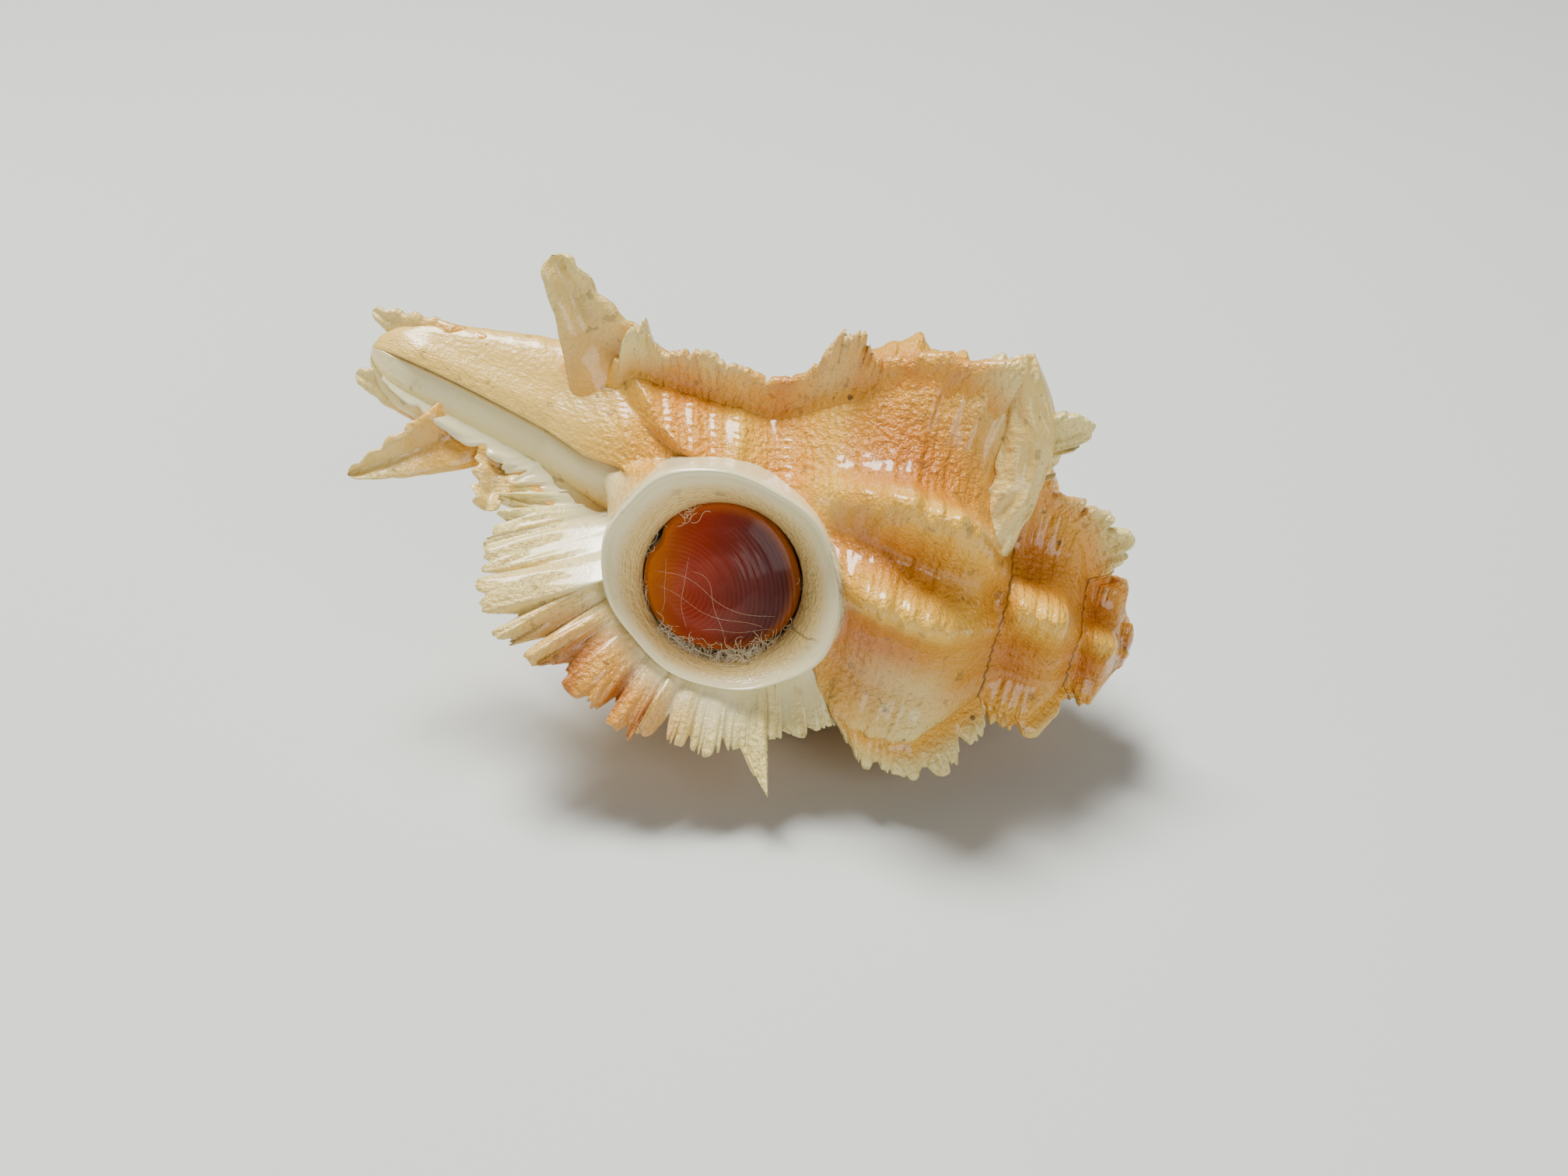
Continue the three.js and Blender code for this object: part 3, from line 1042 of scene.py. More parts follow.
@dataclass
class Shell:
    """The whole shell: whorls, varices with frills, canals and the aperture's rim."""

    whorls: Whorls = field(default_factory=Whorls)
    aperture: Aperture = field(default_factory=Aperture)
    columns: int = 330
    rows: int = 290
    row_stations: tuple[Station, ...] = ((0, 0.5), (0.16, 8), (0.76, 26), (1, 32))
    blending: int = 10
    cords_per_drop: float = 5.0
    cord_height: float = 0.055
    thread_height: float = 0.022
    scale_height: float = 0.05
    scale_spacing: float = 0.55
    band_height: float = 0.14
    roll_height: float = 1.25
    slit_depth: float = 0.18
    flange_height: float = 0.22
    ledge_height: float = 0.75
    varices: tuple[Varix, ...] = (
        Varix("lip", 60, 0.5, 6, rays(
            (1.4, 0.1, 0), (4.0, 0.5, -20), (7.6, 0.9, -50), (9.0, 1.6, -70), (10.2, 3.0, -76),
            (11.0, 3.7, -72), (11.7, 4.6, -64), (12.3, 4.9, -55), (12.9, 5.0, -47), (13.7, 4.3, -38),
            (14.5, 3.6, -27), (15.3, 3.1, -16), (16.1, 2.8, -4), (16.8, 2.5, 5), (17.6, 2.3, 15),
            (18.3, 2.1, 27), (18.55, 4.2, 32), (18.8, 2.1, 37), (19.7, 2.1, 48), (20.5, 1.9, 56),
            (21.2, 1.5, 56), (21.9, 1.0, 50), (23.3, 1.2, 12),
            (24.5, 1.2, 25), (25.6, 1.8, 42), (26.6, 1.3, 45), (27.7, 0.6, 30), (29, 0.8, 45), (30.3, 0.5, 45),
            (31.4, 0.1, 0)), per_ray=24, face_columns=26, seed=8, fold=0.17, curl=0.35, gap=1.0,
            calm=(16.5, 22)),
        Varix("left", 180, 5, 9, rays(
            (9.0, 0.1, -45), (10.2, 2.3, -40), (12.2, 2.2, -26), (14.2, 2.1, -13),
            (16.2, 1.9, -4), (18.2, 2.1, 5), (20, 2.0, 14), (21.6, 2.6, 27), (22.8, 3.3, 45), (24.2, 0.9, 12),
            (25.3, 1.0, 20), (26.4, 1.4, 35), (27.2, 1.9, 46), (28.4, 0.6, 30), (29.6, 0.6, 45), (31.4, 0.1, 0)),
            per_ray=22, face_columns=16, seed=11),
        Varix("right", 300, 5, 9, rays(
            (9.4, 0.1, -30), (10.3, 1.7, -26), (10.9, 2.4, -22), (11.5, 1.2, -24), (12.3, 1.6, -22),
            (13.2, 1.9, -20), (14.8, 1.5, -14), (16.5, 1.5, -9), (17.2, 3.0, -6), (17.9, 2.7, -4),
            (18.4, 1.5, -2), (19, 1.3, 0), (20.6, 1.4, 4), (22.2, 1.6, 14), (23.2, 2.1, 26),
            (23.8, 1.6, 32), (24.5, 3.2, 40), (25.1, 1.8, 40), (25.8, 1.0, 30), (26.8, 0.8, 20),
            (27.8, 1.2, 35), (28.5, 2.0, 47), (29.4, 0.7, 45), (30.2, 0.5, 45), (31.4, 0.1, 0)),
            per_ray=24, face_columns=18, seed=21, edge=0.3, gap=0.6, calm=(9.8, 23)),
    )
    blades: tuple[Blade, ...] = (
        Blade(((0.8, -90, 4.6), (1.1, -90, 2.2), (1.3, -94, 0.0)), (2.8, 1.7, 0.4), 1.1, 0.12, 0.8, 0.22),
        Blade(((0.6, 88, 4.6), (1.1, 88, 2.2), (1.2, 94, 0.3)), (3.0, 1.9, 0.5), 1.0, 0.12, 0.9, 0.22),
        Blade(((0.9, 80, 5.6), (2.4, 77, 4.4), (3.8, 76, 3.0), (5.0, 75, 1.7)), (3.6, 2.5, 1.5, 0.4),
              0.8, 0.34, 0.7, 0.2),
        Blade(((1.0, 73, 6.9), (2.6, 71, 6.9), (4.4, 70, 7.0)), (3.0, 1.9, 0.9), 0.8, 0.32, 0.7, 0.3),
        Blade(((1.5, -60, 11.8), (2.8, -64, 9.7), (4.6, -66, 7.6), (6.2, -66, 5.9)), (6.2, 4.0, 2.1, 1.2),
              1.5, 0.4, 0.75, 0.14),
        Blade(((0.9, 180, 10.6), (2.4, 181, 8.6), (4.0, 182, 7.0), (5.3, 182, 5.6)), (4.4, 3.2, 2.2, 1.4),
              1.5, 0.4),
        Blade(((9.7, -62, 23.3), (8.9, -59, 23.9), (7.9, -56, 24.6), (6.7, -52, 25.1), (5.8, -44, 25.0),
               (5.2, -34, 24.9), (4.6, -24, 24.9), (3.6, -14, 24.8)), (1.0, 1.5, 1.9, 2.0, 1.8, 1.7, 1.6, 1.4),
              1.9, 0.0, pale=0.85, ragged=0.16, foot_pale=0.8, fold=0.13),
    )

    # -- the whorls --

    def body_radius(self, angle: Array, z: Array) -> Array:
        """Radius of the whole shell without its frills, with the creases between its parts rounded.

        Args:
            angle: angle round the shell's axis, in degrees.
            z: height on the axis.

        Returns:
            The radius, in millimetres.
        """
        w = self.whorls
        turns = w.turns(angle)
        total = np.zeros(np.broadcast(angle, z).shape)
        for whorl in range(w.passes):
            age = turns + whorl
            radius = w.radius(age, z) + w.shoulder(age) * w.nodes(age, z)
            total = total + np.maximum(radius, 0) ** self.blending
        total = total + (w.canal(angle, z) + self.ledge(angle, z)) ** self.blending
        oval, reach = self.aperture.oval(angle, z)
        wall = np.maximum(self.aperture.wall(oval, reach), 0)
        total = total * smooth(0.90, 1.0, oval) + wall ** self.blending
        return total ** (1 / self.blending) * w.ends(z)

    def ledge(self, angle: Array, z: Array) -> Array:
        """Height of the step where the last whorl laps over the canal.

        Args:
            angle: angle round the shell's axis, in degrees.
            z: height on the axis.

        Returns:
            The height, in millimetres.
        """
        turned = signed(angle)
        past = z - straight([(-120, 7.4), (-88, 8.2), (-55, 9.9), (-21, 11.75), (-8, 13.4)], turned)
        window = plateau((-125, -100), (-12, -4), turned)
        return self.ledge_height * smooth(-0.12, 0.25, past) * np.exp(-np.clip(past, 0, None) / 3.5) * window

    def lip_angle(self, z: Array) -> Array:
        """Angle at which the rim meets a height on its outer side; elsewhere the varix's own angle.

        Args:
            z: height on the axis.

        Returns:
            The angle, in degrees.
        """
        a = self.aperture
        lean = math.radians(a.lean)
        share = (z - a.z) / (a.half_length * math.cos(lean))
        reach = np.sqrt(np.clip(1 - share * share, 0.05, 1))
        across = a.across + a.half_length * math.sin(lean) * np.clip(share, -1, 1) + 1.03 * a.half_width * reach
        own = self.whorls.lip_angle
        angle = np.minimum(a.facing + np.degrees(np.arctan2(across, a.distance)), own)
        return own + (angle - own) * fall(0.72, 1.12, np.abs(share))

    def foot_angle(self, varix: Varix, z: Array, side: Side) -> Array:
        """Angle of a frill's foot on one side, at each height.

        Args:
            varix: the frill's varix.
            z: heights on the axis.
            side: the frill's face.

        Returns:
            The angles, in degrees.
        """
        if side is Side.BACK:
            return np.full(z.shape, varix.angle + varix.back, float)
        own = self.lip_angle(z) if varix is self.varices[0] else np.full(z.shape, varix.angle, float)
        return own - varix.front

    @staticmethod
    def slit_angle(z: Array) -> Array:
        """Angle of the canal's slit at a height on the axis."""
        return straight([(0, -4), (3, 2), (6, 13), (9.7, 25), (11.6, 16), (13, -4)], z)

    def smooth_canal(self, angle: Array, z: Array) -> Array:
        """1 on the canal's smooth face, between its slit and its outer edge."""
        turned = signed(angle)
        return smooth(-2, 2, turned - self.slit_angle(z)) * fall(40, 62, turned) * fall(10.8, 12.6, z)

    def slit(self, angle: Array, z: Array) -> Array:
        """1 in the canal's slit."""
        return bell((signed(angle) - self.slit_angle(z)) / 3.0) * plateau((0.8, 2.0), (11.4, 12.4), z)

    def flange(self, angle: Array, z: Array) -> Array:
        """1 on the side of the canal that laps over its slit."""
        past = signed(angle) - self.slit_angle(z)
        return plateau((-70, -25), (-4, 1), past) * plateau((1, 2.5), (10.5, 12), z)

    def rough_share(self, angle: Array, z: Array) -> Array:
        """0 where the shell is smooth, on the rim and along the canal's inner side, and 1 elsewhere."""
        outside_rim = smooth(1.02, 1.08, self.aperture.oval(angle, z)[0])
        return outside_rim * (1 - 0.9 * self.smooth_canal(angle, z)) * (1 - 0.65 * fall(9.5, 12.5, z))

    def relief(self, angle: Array, z: Array) -> Array:
        """Height of what stands on the whorls.

        Args:
            angle: angle round the shell's axis, in degrees.
            z: height on the axis.

        Returns:
            Height of the spiral cords, the threads between them, the scales on their crests and the pale roll.
        """
        w = self.whorls
        age = w.age(angle, z)
        cord = w.cord(age, z)
        count = cord * self.cords_per_drop
        size = np.clip(w.shoulder(age) / w.body_radius, 0.3, 1)
        primary = (0.5 + 0.5 * np.sin(TURN * count)) ** 1.5
        threads = 0.5 + 0.5 * np.sin(TURN * 3 * count)
        along = w.growth(age) / self.scale_spacing + 0.5 * np.floor(count)
        scales = (along % 1.0) ** 2 * primary
        ridge = w.wave(age) * bell((cord - 0.9) / 0.7)
        height = (self.cord_height * primary * (0.7 + 3.6 * ridge) + self.thread_height * threads * (0.7 + ridge)
                  + self.scale_height * scales + self.band_height * self.pale_bands(age, cord))
        rough = height * size * plateau((0.2, 2.0), (30.2, 31.6), z) * self.rough_share(angle, z)
        roll = self.roll_height * self.shoulder_roll(angle, z) * (1 + 0.16 * np.sin(z * 5.5 + angle / 9))
        return rough + roll - self.slit_depth * self.slit(angle, z) + self.flange_height * self.flange(angle, z)

    @staticmethod
    def lip_side(angle: Array) -> Array:
        """1 on the flank that faces the lip."""
        return plateau((10, 30), (110, 130), signed(angle))

    @staticmethod
    def pale_lip(angle: Array, z: Array) -> Array:
        """1 on the pale strip of the last whorl behind the aperture."""
        return plateau((30, 46), (84, 100), signed(angle)) * plateau((19.5, 21.5), (24.5, 26), z)

    @staticmethod
    def shoulder_roll(angle: Array, z: Array) -> Array:
        """1 on the crest of the pale roll that the right varix carries over the shoulder to the suture."""
        middle = straight([(20.5, 300), (22.5, 298), (24, 300), (25.2, 306), (26.2, 316)], z)
        return bell((angle % 360 - middle) / 8.0) * plateau((21.0, 22.6), (25.6, 26.4), z)

    def pale_bands(self, age: Array, cord: Array) -> Array:
        """1 along the two pale spiral bands of the last whorl."""
        return (bell((cord - 1.72) / 0.13) + bell((cord - 2.45) / 0.12)) * (age < self.whorls.spire_from)

    def on_body(self, angle: Array, z: Array) -> Array:
        """Points of the whorls' surface."""
        return polar(self.body_radius(angle, z) + self.relief(angle, z), angle, z)

    def values_on(self, angle: Array, z: Array) -> Values:
        """What the finish reads at places on the whorls.

        Args:
            angle: angle round the shell's axis, in degrees.
            z: height on the axis.

        Returns:
            The values, by name.
        """
        w = self.whorls
        age = w.age(angle, z)
        cord = w.cord(age, z)
        swollen = w.varix_share(age)
        crest = w.wave(age) * bell((cord - 0.9) / 0.62)
        # Painted shade: valley darkens the hollows between the ridges, groove the suture's groove, and the canal's
        # slit is darkened too.
        valley = (1 - w.wave(age)) ** 1.4 * bell((cord - 1.0) / 0.7) * (1 - swollen)
        groove = bell(cord / 0.2) * (age < 3.2)
        near_rim = fall(0.97, 1.04, self.aperture.oval(angle, z)[0])
        bands = bell((cord - 1.35) / 0.5) + 0.8 * bell((cord - 2.1) / 0.2) + 0.7 * bell((cord - 2.9) / 0.3)
        by_suture = 0.5 * bell((cord - 0.35) / 0.25) * (age < 1.1) * swollen
        pale_canal = (0.42 + 0.45 * self.lip_side(angle)) * fall(8, 12, z)
        white = by_suture + 0.6 * self.pale_lip(angle, z) + pale_canal + 0.95 * self.shoulder_roll(angle, z)
        return finish_values(
            z, cord=cord, growth=w.growth(age), node=share_of(crest + 0.6 * self.pale_bands(age, cord)),
            hollow=share_of(0.75 * valley + 0.45 * groove + 0.8 * self.slit(angle, z)), band=share_of(bands),
            frill=share_of(white), rim=share_of(np.maximum(near_rim, 0.8 * self.smooth_canal(angle, z))),
            calm=fall(8.5, 12.5, z))

    def whorl_skin(self) -> bpy.types.Mesh:
        """The whorls' whole outer surface as one closed skin.

        Returns:
            The mesh, in millimetres.
        """
        heights = straight(self.row_stations, np.arange(self.rows + 1) / self.rows)
        lip = self.varices[0]

        def place(u: Array, v: Array) -> tuple[Array, Values]:
            """Points round the whorls.

            Args:
                u: column, round the girth.
                v: row, up the axis.

            Returns:
                The points and the named values there.
            """
            z = heights[v]
            start = self.foot_angle(lip, z, Side.BACK)
            end = self.foot_angle(lip, z, Side.FRONT) + 360
            way = np.where(u == self.columns, 0, u / (self.columns - 1))
            angle = start + (end - start) * way
            on_axis = (v == 0) | (v == self.rows)
            points = self.on_body(angle, z)
            points[on_axis, :2] = 0
            return points, self.values_on(angle, z)

        return skin("whorls", self.columns, self.rows, place)

    # -- the frills --

    def frill_shift(self, varix: Varix, phase: Array, share: Array, side: Array, bent: Array, ragged: Array,
                    tall: Array, calm: Array) -> Array:
        """How far a frill's points lie to the side of its middle plane.

        Args:
            varix: the frill's varix.
            phase: places along the frill, counted in rays.
            share: 0 at the foot and 1 on the edge.
            side: -1 on the front face and 1 on the back.
            bent: places along the folds, which wander a little.
            ragged: how uneven the edge is there, from -1 to 1.
            tall: 0 where the frill is low and 1 where it is tall.
            calm: 1 where it is hardly folded.

        Returns:
            The shift, in millimetres.
        """
        ridge = rounded_wave(bent)
        folds = -varix.fold * varix.strength(phase) * ridge * smooth(0.1, 0.95, share) * tall
        fine = -0.04 * np.cos(3 * TURN * bent + 0.7) - 0.025 * np.cos(5 * TURN * phase)
        fine = fine * smooth(0.2, 0.8, share) * tall * (1 - 0.6 * calm)
        uneven = 0.16 * ragged * share ** 3 * tall
        curl = varix.curl * share ** 2.5 * tall
        fillet = -side * 0.16 * np.sin(math.pi * share ** 0.7) * tall * (1 - share)
        half = side * varix.edge * share * np.sqrt(np.clip(1.15 - share ** 6, 0, 1))
        ends = smooth(0, 0.8, phase) * smooth(0, 0.8, len(varix.rays) - 1 - phase)
        return (half + folds + fine + uneven + curl + fillet) * ends

    def frill_values(self, varix: Varix, z: Array, share: Array, side: Array, length: Array, ridge: Array,
                     tall: Array) -> Values:
        """What the finish reads on a frill.

        Args:
            varix: the frill's varix.
            z: height of the frill's foot on the axis.
            share: 0 at the foot and 1 on the edge.
            side: -1 on the front face and 1 on the back.
            length: the frill's length there.
            ridge: 1 on the crest of a fold and -1 between two.
            tall: 0 where the frill is low and 1 where it is tall.

        Returns:
            The values, by name.
        """
        values = self.values_on(self.foot_angle(varix, z, Side.BACK), z)
        on_lip = varix is self.varices[0]
        grown = smooth(0.05, 0.6, share * length / varix.full_length)
        # Painted shade: between marks the valleys between the frill's folds, which are darkened.
        between = (0.5 - 0.5 * ridge) ** 2 * smooth(0.25, 0.9, share) * tall
        if on_lip:
            values["band"] *= bell((z - 15.0) / 2.0)
        values["frill"] = grown * (1 - 0.35 * values["band"])
        values["growth"] += share * length * 1.3
        values["node"] = 0.35 * (0.5 + 0.5 * ridge) * grown
        values["hollow"] = share_of(0.55 * between * values["band"])
        if on_lip:
            # A brown patch on the lip's frill, over which the valleys also get more painted shade.
            patch = bell((z - 14.6) / 1.6) * smooth(0.15, 0.7, share)
            values["frill"] *= 1 - 0.8 * patch
            values["hollow"] = share_of(values["hollow"] + 0.75 * patch * (0.5 + between))
            out = share * length + 0.15 * ridge
            values["rim"] = np.where(side < 0, fall(0.5, 2.3, out), 0) * fall(21, 22.5, z) * (1 - 0.6 * patch)
        else:
            plain = plateau((13.2, 15.0), (21.6, 22.8), z) * (1 - bell((z - 17.3) / 0.8))
            values["frill"] *= 1 - 0.75 * plain
            values["rim"] *= 0
        return values

    def frill_skin(self, varix: Varix) -> bpy.types.Mesh:
        """One varix's frill as a closed sheet whose foot is inside the whorls.

        Args:
            varix: the varix.

        Returns:
            The mesh, in millimetres.
        """
        faces = varix.face_columns
        way = np.arange(faces + 1) / faces
        shares = np.concatenate([[0.0], way, way[::-1], [0.0]])
        sides = np.repeat([-1.0, 1.0], faces + 2)
        rows = varix.per_ray * (len(varix.rays) - 1)
        per_wobble = 5
        wobble = np.random.default_rng(varix.seed + 9).uniform(-1, 1, rows // per_wobble + 3)

        def place(u: Array, v: Array) -> tuple[Array, Values]:
            """Points of the sheet.

            Args:
                u: column, over the sheet from one foot to the other.
                v: row, along the frill.

            Returns:
                The points and the named values there.
            """
            column = u % len(shares)
            share, side = shares[column], sides[column]
            phase = v / varix.per_ray
            z, length, lean = varix.along(phase)
            tall = share_of(length / 2.0)
            front, back = (self.on_body(self.foot_angle(varix, z, face), z) for face in (Side.FRONT, Side.BACK))
            middle = (front + back) / 2
            foot = np.where((side < 0)[:, None], front, back)
            under = ((column == 0) | (column == len(shares) - 1))[:, None]
            foot = np.where(under, (foot + middle) / 2 * [0.94, 0.94, 1.0], foot)
            turned = np.radians(lean)
            edge = middle + polar(length * np.cos(turned), varix.angle, length * np.sin(turned))
            bent = phase + share * 0.22 * np.sin(2.6 * share + 1.9 * phase + varix.seed)
            ragged = np.interp(v / per_wobble, range(len(wobble)), wobble)
            shift = self.frill_shift(varix, phase, share, side, bent, ragged, tall, varix.is_calm(z))
            points = foot + (edge - foot) * share[:, None] + shift[:, None] * polar(1.0, varix.angle + 90, 0.0)
            return points, self.frill_values(varix, z, share, side, length, rounded_wave(bent), tall)

        return skin(varix.name, len(shares), rows, place)

    # -- the aperture's rim --

    def rim_ring(self) -> bpy.types.Mesh:
        """The rounded rim and the funnel inside it.

        Returns:
            A closed ring, in millimetres.
        """
        around, section = 220, 44
        foot = [(0.1, -3.3), (0.5, -3.3), (0.95, -3.0)]
        outside = [(1.10, -2.2), (1.05, -0.9), (1.02, -0.25)]
        broad = [*outside, (0.99, 0.14), (0.93, 0.26), (0.84, 0.18), (0.70, -0.04), (0.50, -0.34),
                 (0.32, -0.66), (0.15, -1.1), (0.0, -1.7), (-0.02, -2.6), *foot, outside[0]]
        narrow = [*outside, (0.99, 0.06), (0.93, 0.15), (0.86, 0.12), (0.76, -0.06), (0.58, -0.36),
                  (0.36, -0.78), (0.14, -1.2), (0.02, -1.7), (-0.03, -2.6), *foot, outside[0]]
        knots = range(len(broad))
        steps = np.linspace(0, len(broad) - 1, section + 1)

        def place(u: Array, v: Array) -> tuple[Array, Values]:
            """Points of the ring.

            Args:
                u: column, round the oval.
                v: row, round the rim's own section.

            Returns:
                The points and the named values there.
            """
            turn = TURN * u / around
            breadth = smooth(-0.45, 0.55, np.cos(turn + 0.75))
            at = steps[v % section]
            reach, height = (breadth * np.interp(at, knots, [point[axis] for point in broad])
                             + (1 - breadth) * np.interp(at, knots, [point[axis] for point in narrow])
                             for axis in (0, 1))
            wobble = 1 + 0.012 * np.sin(5 * turn + 1.0) + 0.008 * np.sin(9 * turn)
            # Painted shade and warm reflected light on the funnel's inner wall: less porcelain and more chalk
            # there, and painted shade at the funnel's bottom.
            inside = fall(0.35, 0.75, reach) * (height > -3)
            values = finish_values(turn, rim=1 - 0.75 * inside, growth=turn * 4, cord=reach,
                                   hollow=0.45 * bell((reach - 0.02) / 0.25), frill=0.6 * inside)
            return self.aperture.out(*self.aperture.ring(turn, reach, wobble), height), values

        return skin("rim_ring", around, section, place)

    def recess_plug(self) -> bpy.types.Mesh:
        """Oval plug that hollows the space behind the operculum out.

        Returns:
            The closed plug, in millimetres.
        """
        around, top, floor = 64, 1.5, -self.aperture.floor
        middle = -1
        profile = np.array([(middle, floor), (0, floor), (0.1, -1.8), (0.34, -1.2), (0.62, -0.62), (0.88, -0.05),
                            (0.9, top), (middle, top)])

        def place(u: Array, v: Array) -> tuple[Array, Values]:
            """Points of the plug's side.

            Args:
                u: column, round the oval.
                v: row, from the floor to the top.

            Returns:
                The points and the named values there.
            """
            turn = TURN * u / around
            reach, height = profile[v, 0], profile[v, 1]
            size = np.where(reach < 0, 0.0, 1.0)
            along, across = self.aperture.ring(turn, share_of(reach), size=size)
            # The recess's walls, cut by this plug, get painted shade.
            return self.aperture.out(along, across, height), finish_values(turn, rim=1.0, hollow=0.5)

        return skin("recess_plug", around, len(profile) - 1, place)

    # -- the prongs --

    def blade_skin(self, blade: Blade) -> bpy.types.Mesh:
        """One prong as a closed mesh.

        Args:
            blade: its path and sizes.

        Returns:
            The mesh, in millimetres.
        """
        around, steps, tip_share = 40, 60, 0.07
        spine = np.array([polar(*point) for point in blade.path])
        knots = np.linspace(0, 1, len(spine))
        facing = polar(1.0, self.aperture.facing, 0.0)

        def middle(share: Array) -> Array:
            """The middle line with its corners rounded.

            Args:
                share: 0 at the foot and 1 at the tip.

            Returns:
                Its points.
            """
            room = np.minimum(share, 1 - share) * 4
            near = [share_of(share + spread * room) for spread in (-0.12, -0.06, 0.0, 0.06, 0.12)]
            points = [np.stack([np.interp(at, knots, line) for line in spine.T], axis=-1) for at in near]
            return sum(points) / len(points)

        def place(u: Array, v: Array) -> tuple[Array, Values]:
            """Points of the prong.

            Args:
                u: column, round the prong.
                v: row, from foot to tip.

            Returns:
                The points and the named values there.
            """
            share = v / steps
            ahead = unit(middle(share_of(share + 0.04)) - middle(share_of(share - 0.04)))
            side = unit(np.cross(ahead, facing))
            normal = np.cross(side, ahead)
            turn = TURN * u / around
            tip = np.sqrt(share_of(1 - share_of((share - 1 + tip_share) / tip_share) ** 2))
            teeth = np.abs(np.sin(share * 17 + 0.4)) ** 0.6 - 0.6 + 0.35 * np.sin(share * 41)
            uneven = 1 + blade.ragged * teeth * smooth(0.25, 0.6, share) * (0.6 + 0.4 * np.sign(np.cos(turn)))
            x = np.cos(turn) * np.interp(share, knots, blade.width) / 2 * tip * uneven
            thick = blade.thickness / 2 * (1 - 0.6 * share) * tip
            dip = bell(np.cos(turn) / 0.45) * (np.sin(turn) > 0) * smooth(0.05, 0.35, share) * tip
            folds = blade.fold * np.cos(7 * turn + 2.5 * np.sin(share * 9)) * (0.6 + 0.4 * np.sin(share * 31))
            bow = (0.5 * blade.channel * np.cos(turn) ** 2 + 0.06 * np.sin(share * 23) + folds) * tip
            y = np.sin(turn) * thick - blade.channel * dip + bow
            points = middle(share) + side * x[:, None] + normal * y[:, None]
            # Painted shade in the prong's channel.
            values = finish_values(
                turn, cord=2.0 + share * 1.5, growth=share * 6 + turn, node=0.25, calm=0.6,
                hollow=0.25 * dip * (blade.channel > 0), band=0.3 * (1 - share) * (1 - blade.foot_pale),
                frill=np.maximum(smooth(0.1, 0.8, share), blade.foot_pale) * blade.pale)
            return points, values

        return skin("blade", around, steps, place)

    # -- all of it --

    def build(self, matrix: Matrix, material: bpy.types.Material) -> list[bpy.types.Object]:
        """Grows the shell and lays it down.

        Args:
            matrix: from the shell's own frame to the row frame.
            material: its finish.

        Returns:
            Its pieces.
        """
        parts = {"shell_whorls": cut_out(self.whorl_skin(), self.recess_plug()), "shell_rim": self.rim_ring()}
        for varix in self.varices:
            parts[f"shell_frill_{varix.name}"] = self.frill_skin(varix)
        lip = f"shell_frill_{self.varices[0].name}"
        parts[lip] = cut_out(parts[lip], self.recess_plug())
        for number, blade in enumerate(self.blades, start=1):
            parts[f"shell_prong_{number}"] = self.blade_skin(blade)
        return [add_piece(name, lay_down(mesh, matrix), "shell", material)
                for name, mesh in parts.items()]


@dataclass
class Operculum:
    """The horny plate in the aperture."""

    aperture: Aperture
    half_length: float = 2.95
    half_width: float = 2.88
    thickness: float = 0.7
    dome: float = 0.35
    below: float = 1.5
    nucleus: Station = (-1.3, 1.1)
    arc_spacing: float = 0.42
    arc_height: float = 0.02
    around: int = 160
    rings: int = 90
    plain_around: int = 28

    def profile(self) -> Array:
        """Share of the radius and height of the plate's outline, from below to its top.

        Returns:
            The outline, one point a row.
        """
        return np.array([(0, -self.thickness), (0.6, -self.thickness * 0.95), (0.92, -self.thickness * 0.8),
                         (1, -self.thickness * 0.5), (0.94, -self.thickness * 0.1), (0.7, self.dome * 0.45),
                         (0.35, self.dome * 0.9), (0, self.dome)])

    def centre_of_box(self, turn: Matrix) -> Vector:
        """Centre of the box round the plain plate after it is turned into the row frame.

        Args:
            turn: rotation from the shell's own frame to the row frame.

        Returns:
            The centre, in millimetres.
        """
        share, height = self.profile().T
        way = TURN * np.arange(self.plain_around)[:, None] / self.plain_around
        along, across = self.half_length * share * np.cos(way), self.half_width * share * np.sin(way)
        rings = self.aperture.in_recess(along, across, height - self.below)
        points = rings.reshape(-1, 3) @ np.array(turn).T
        return Vector((points.min(0) + points.max(0)) / 2)

    def build(self, matrix: Matrix, material: bpy.types.Material) -> bpy.types.Object:
        """Grows the plate: an uneven oval, its top ridged by growth arcs round its nucleus.

        Args:
            matrix: from the shell's own frame to the row frame.
            material: its finish.

        Returns:
            The piece.
        """
        outline = self.profile()
        walk = np.linspace(0, 1, len(outline))

        def place(u: Array, v: Array) -> tuple[Array, Values]:
            """Points of the plate.

            Args:
                u: column, round the plate.
                v: row, from the middle below to the middle above.

            Returns:
                The points and the named values there.
            """
            turn = TURN * u / self.around
            way = v / self.rings
            reach = np.interp(way, walk, outline[:, 0])
            height = np.interp(way, walk, outline[:, 1])
            notch = bell(((turn + 0.15) % TURN - 3.3) / 0.16)
            egg = 1 + 0.05 * np.cos(turn + 2.2) + 0.02 * np.cos(3 * turn) - 0.07 * notch
            along = self.half_length * reach * np.cos(turn) * egg
            across = self.half_width * reach * np.sin(turn) * egg
            away = np.hypot(along - self.nucleus[0], (across - self.nucleus[1]) * 1.1)
            arcs = np.sin(TURN * away / self.arc_spacing) * smooth(1.2, 2.4, away) * fall(-1.5, 0.5, across)
            dish = -0.22 * bell(away / 1.2) + 0.12 * bell((away - 2.6) / 0.8)
            height = height + (self.arc_height * arcs + dish) * smooth(0.72, 0.86, way) - self.below
            shade = share_of(0.56 + along * 0.15 - across * 0.07)
            values = {"arc": away, "shade": shade, "edge": np.where(way > 0.5, reach, 1.0)}
            return self.aperture.in_recess(along, across, height), values

        mesh = skin("operculum", self.around, self.rings, place)
        mesh.transform(matrix)
        return add_piece("operculum_plate", mesh, "operculum", material)


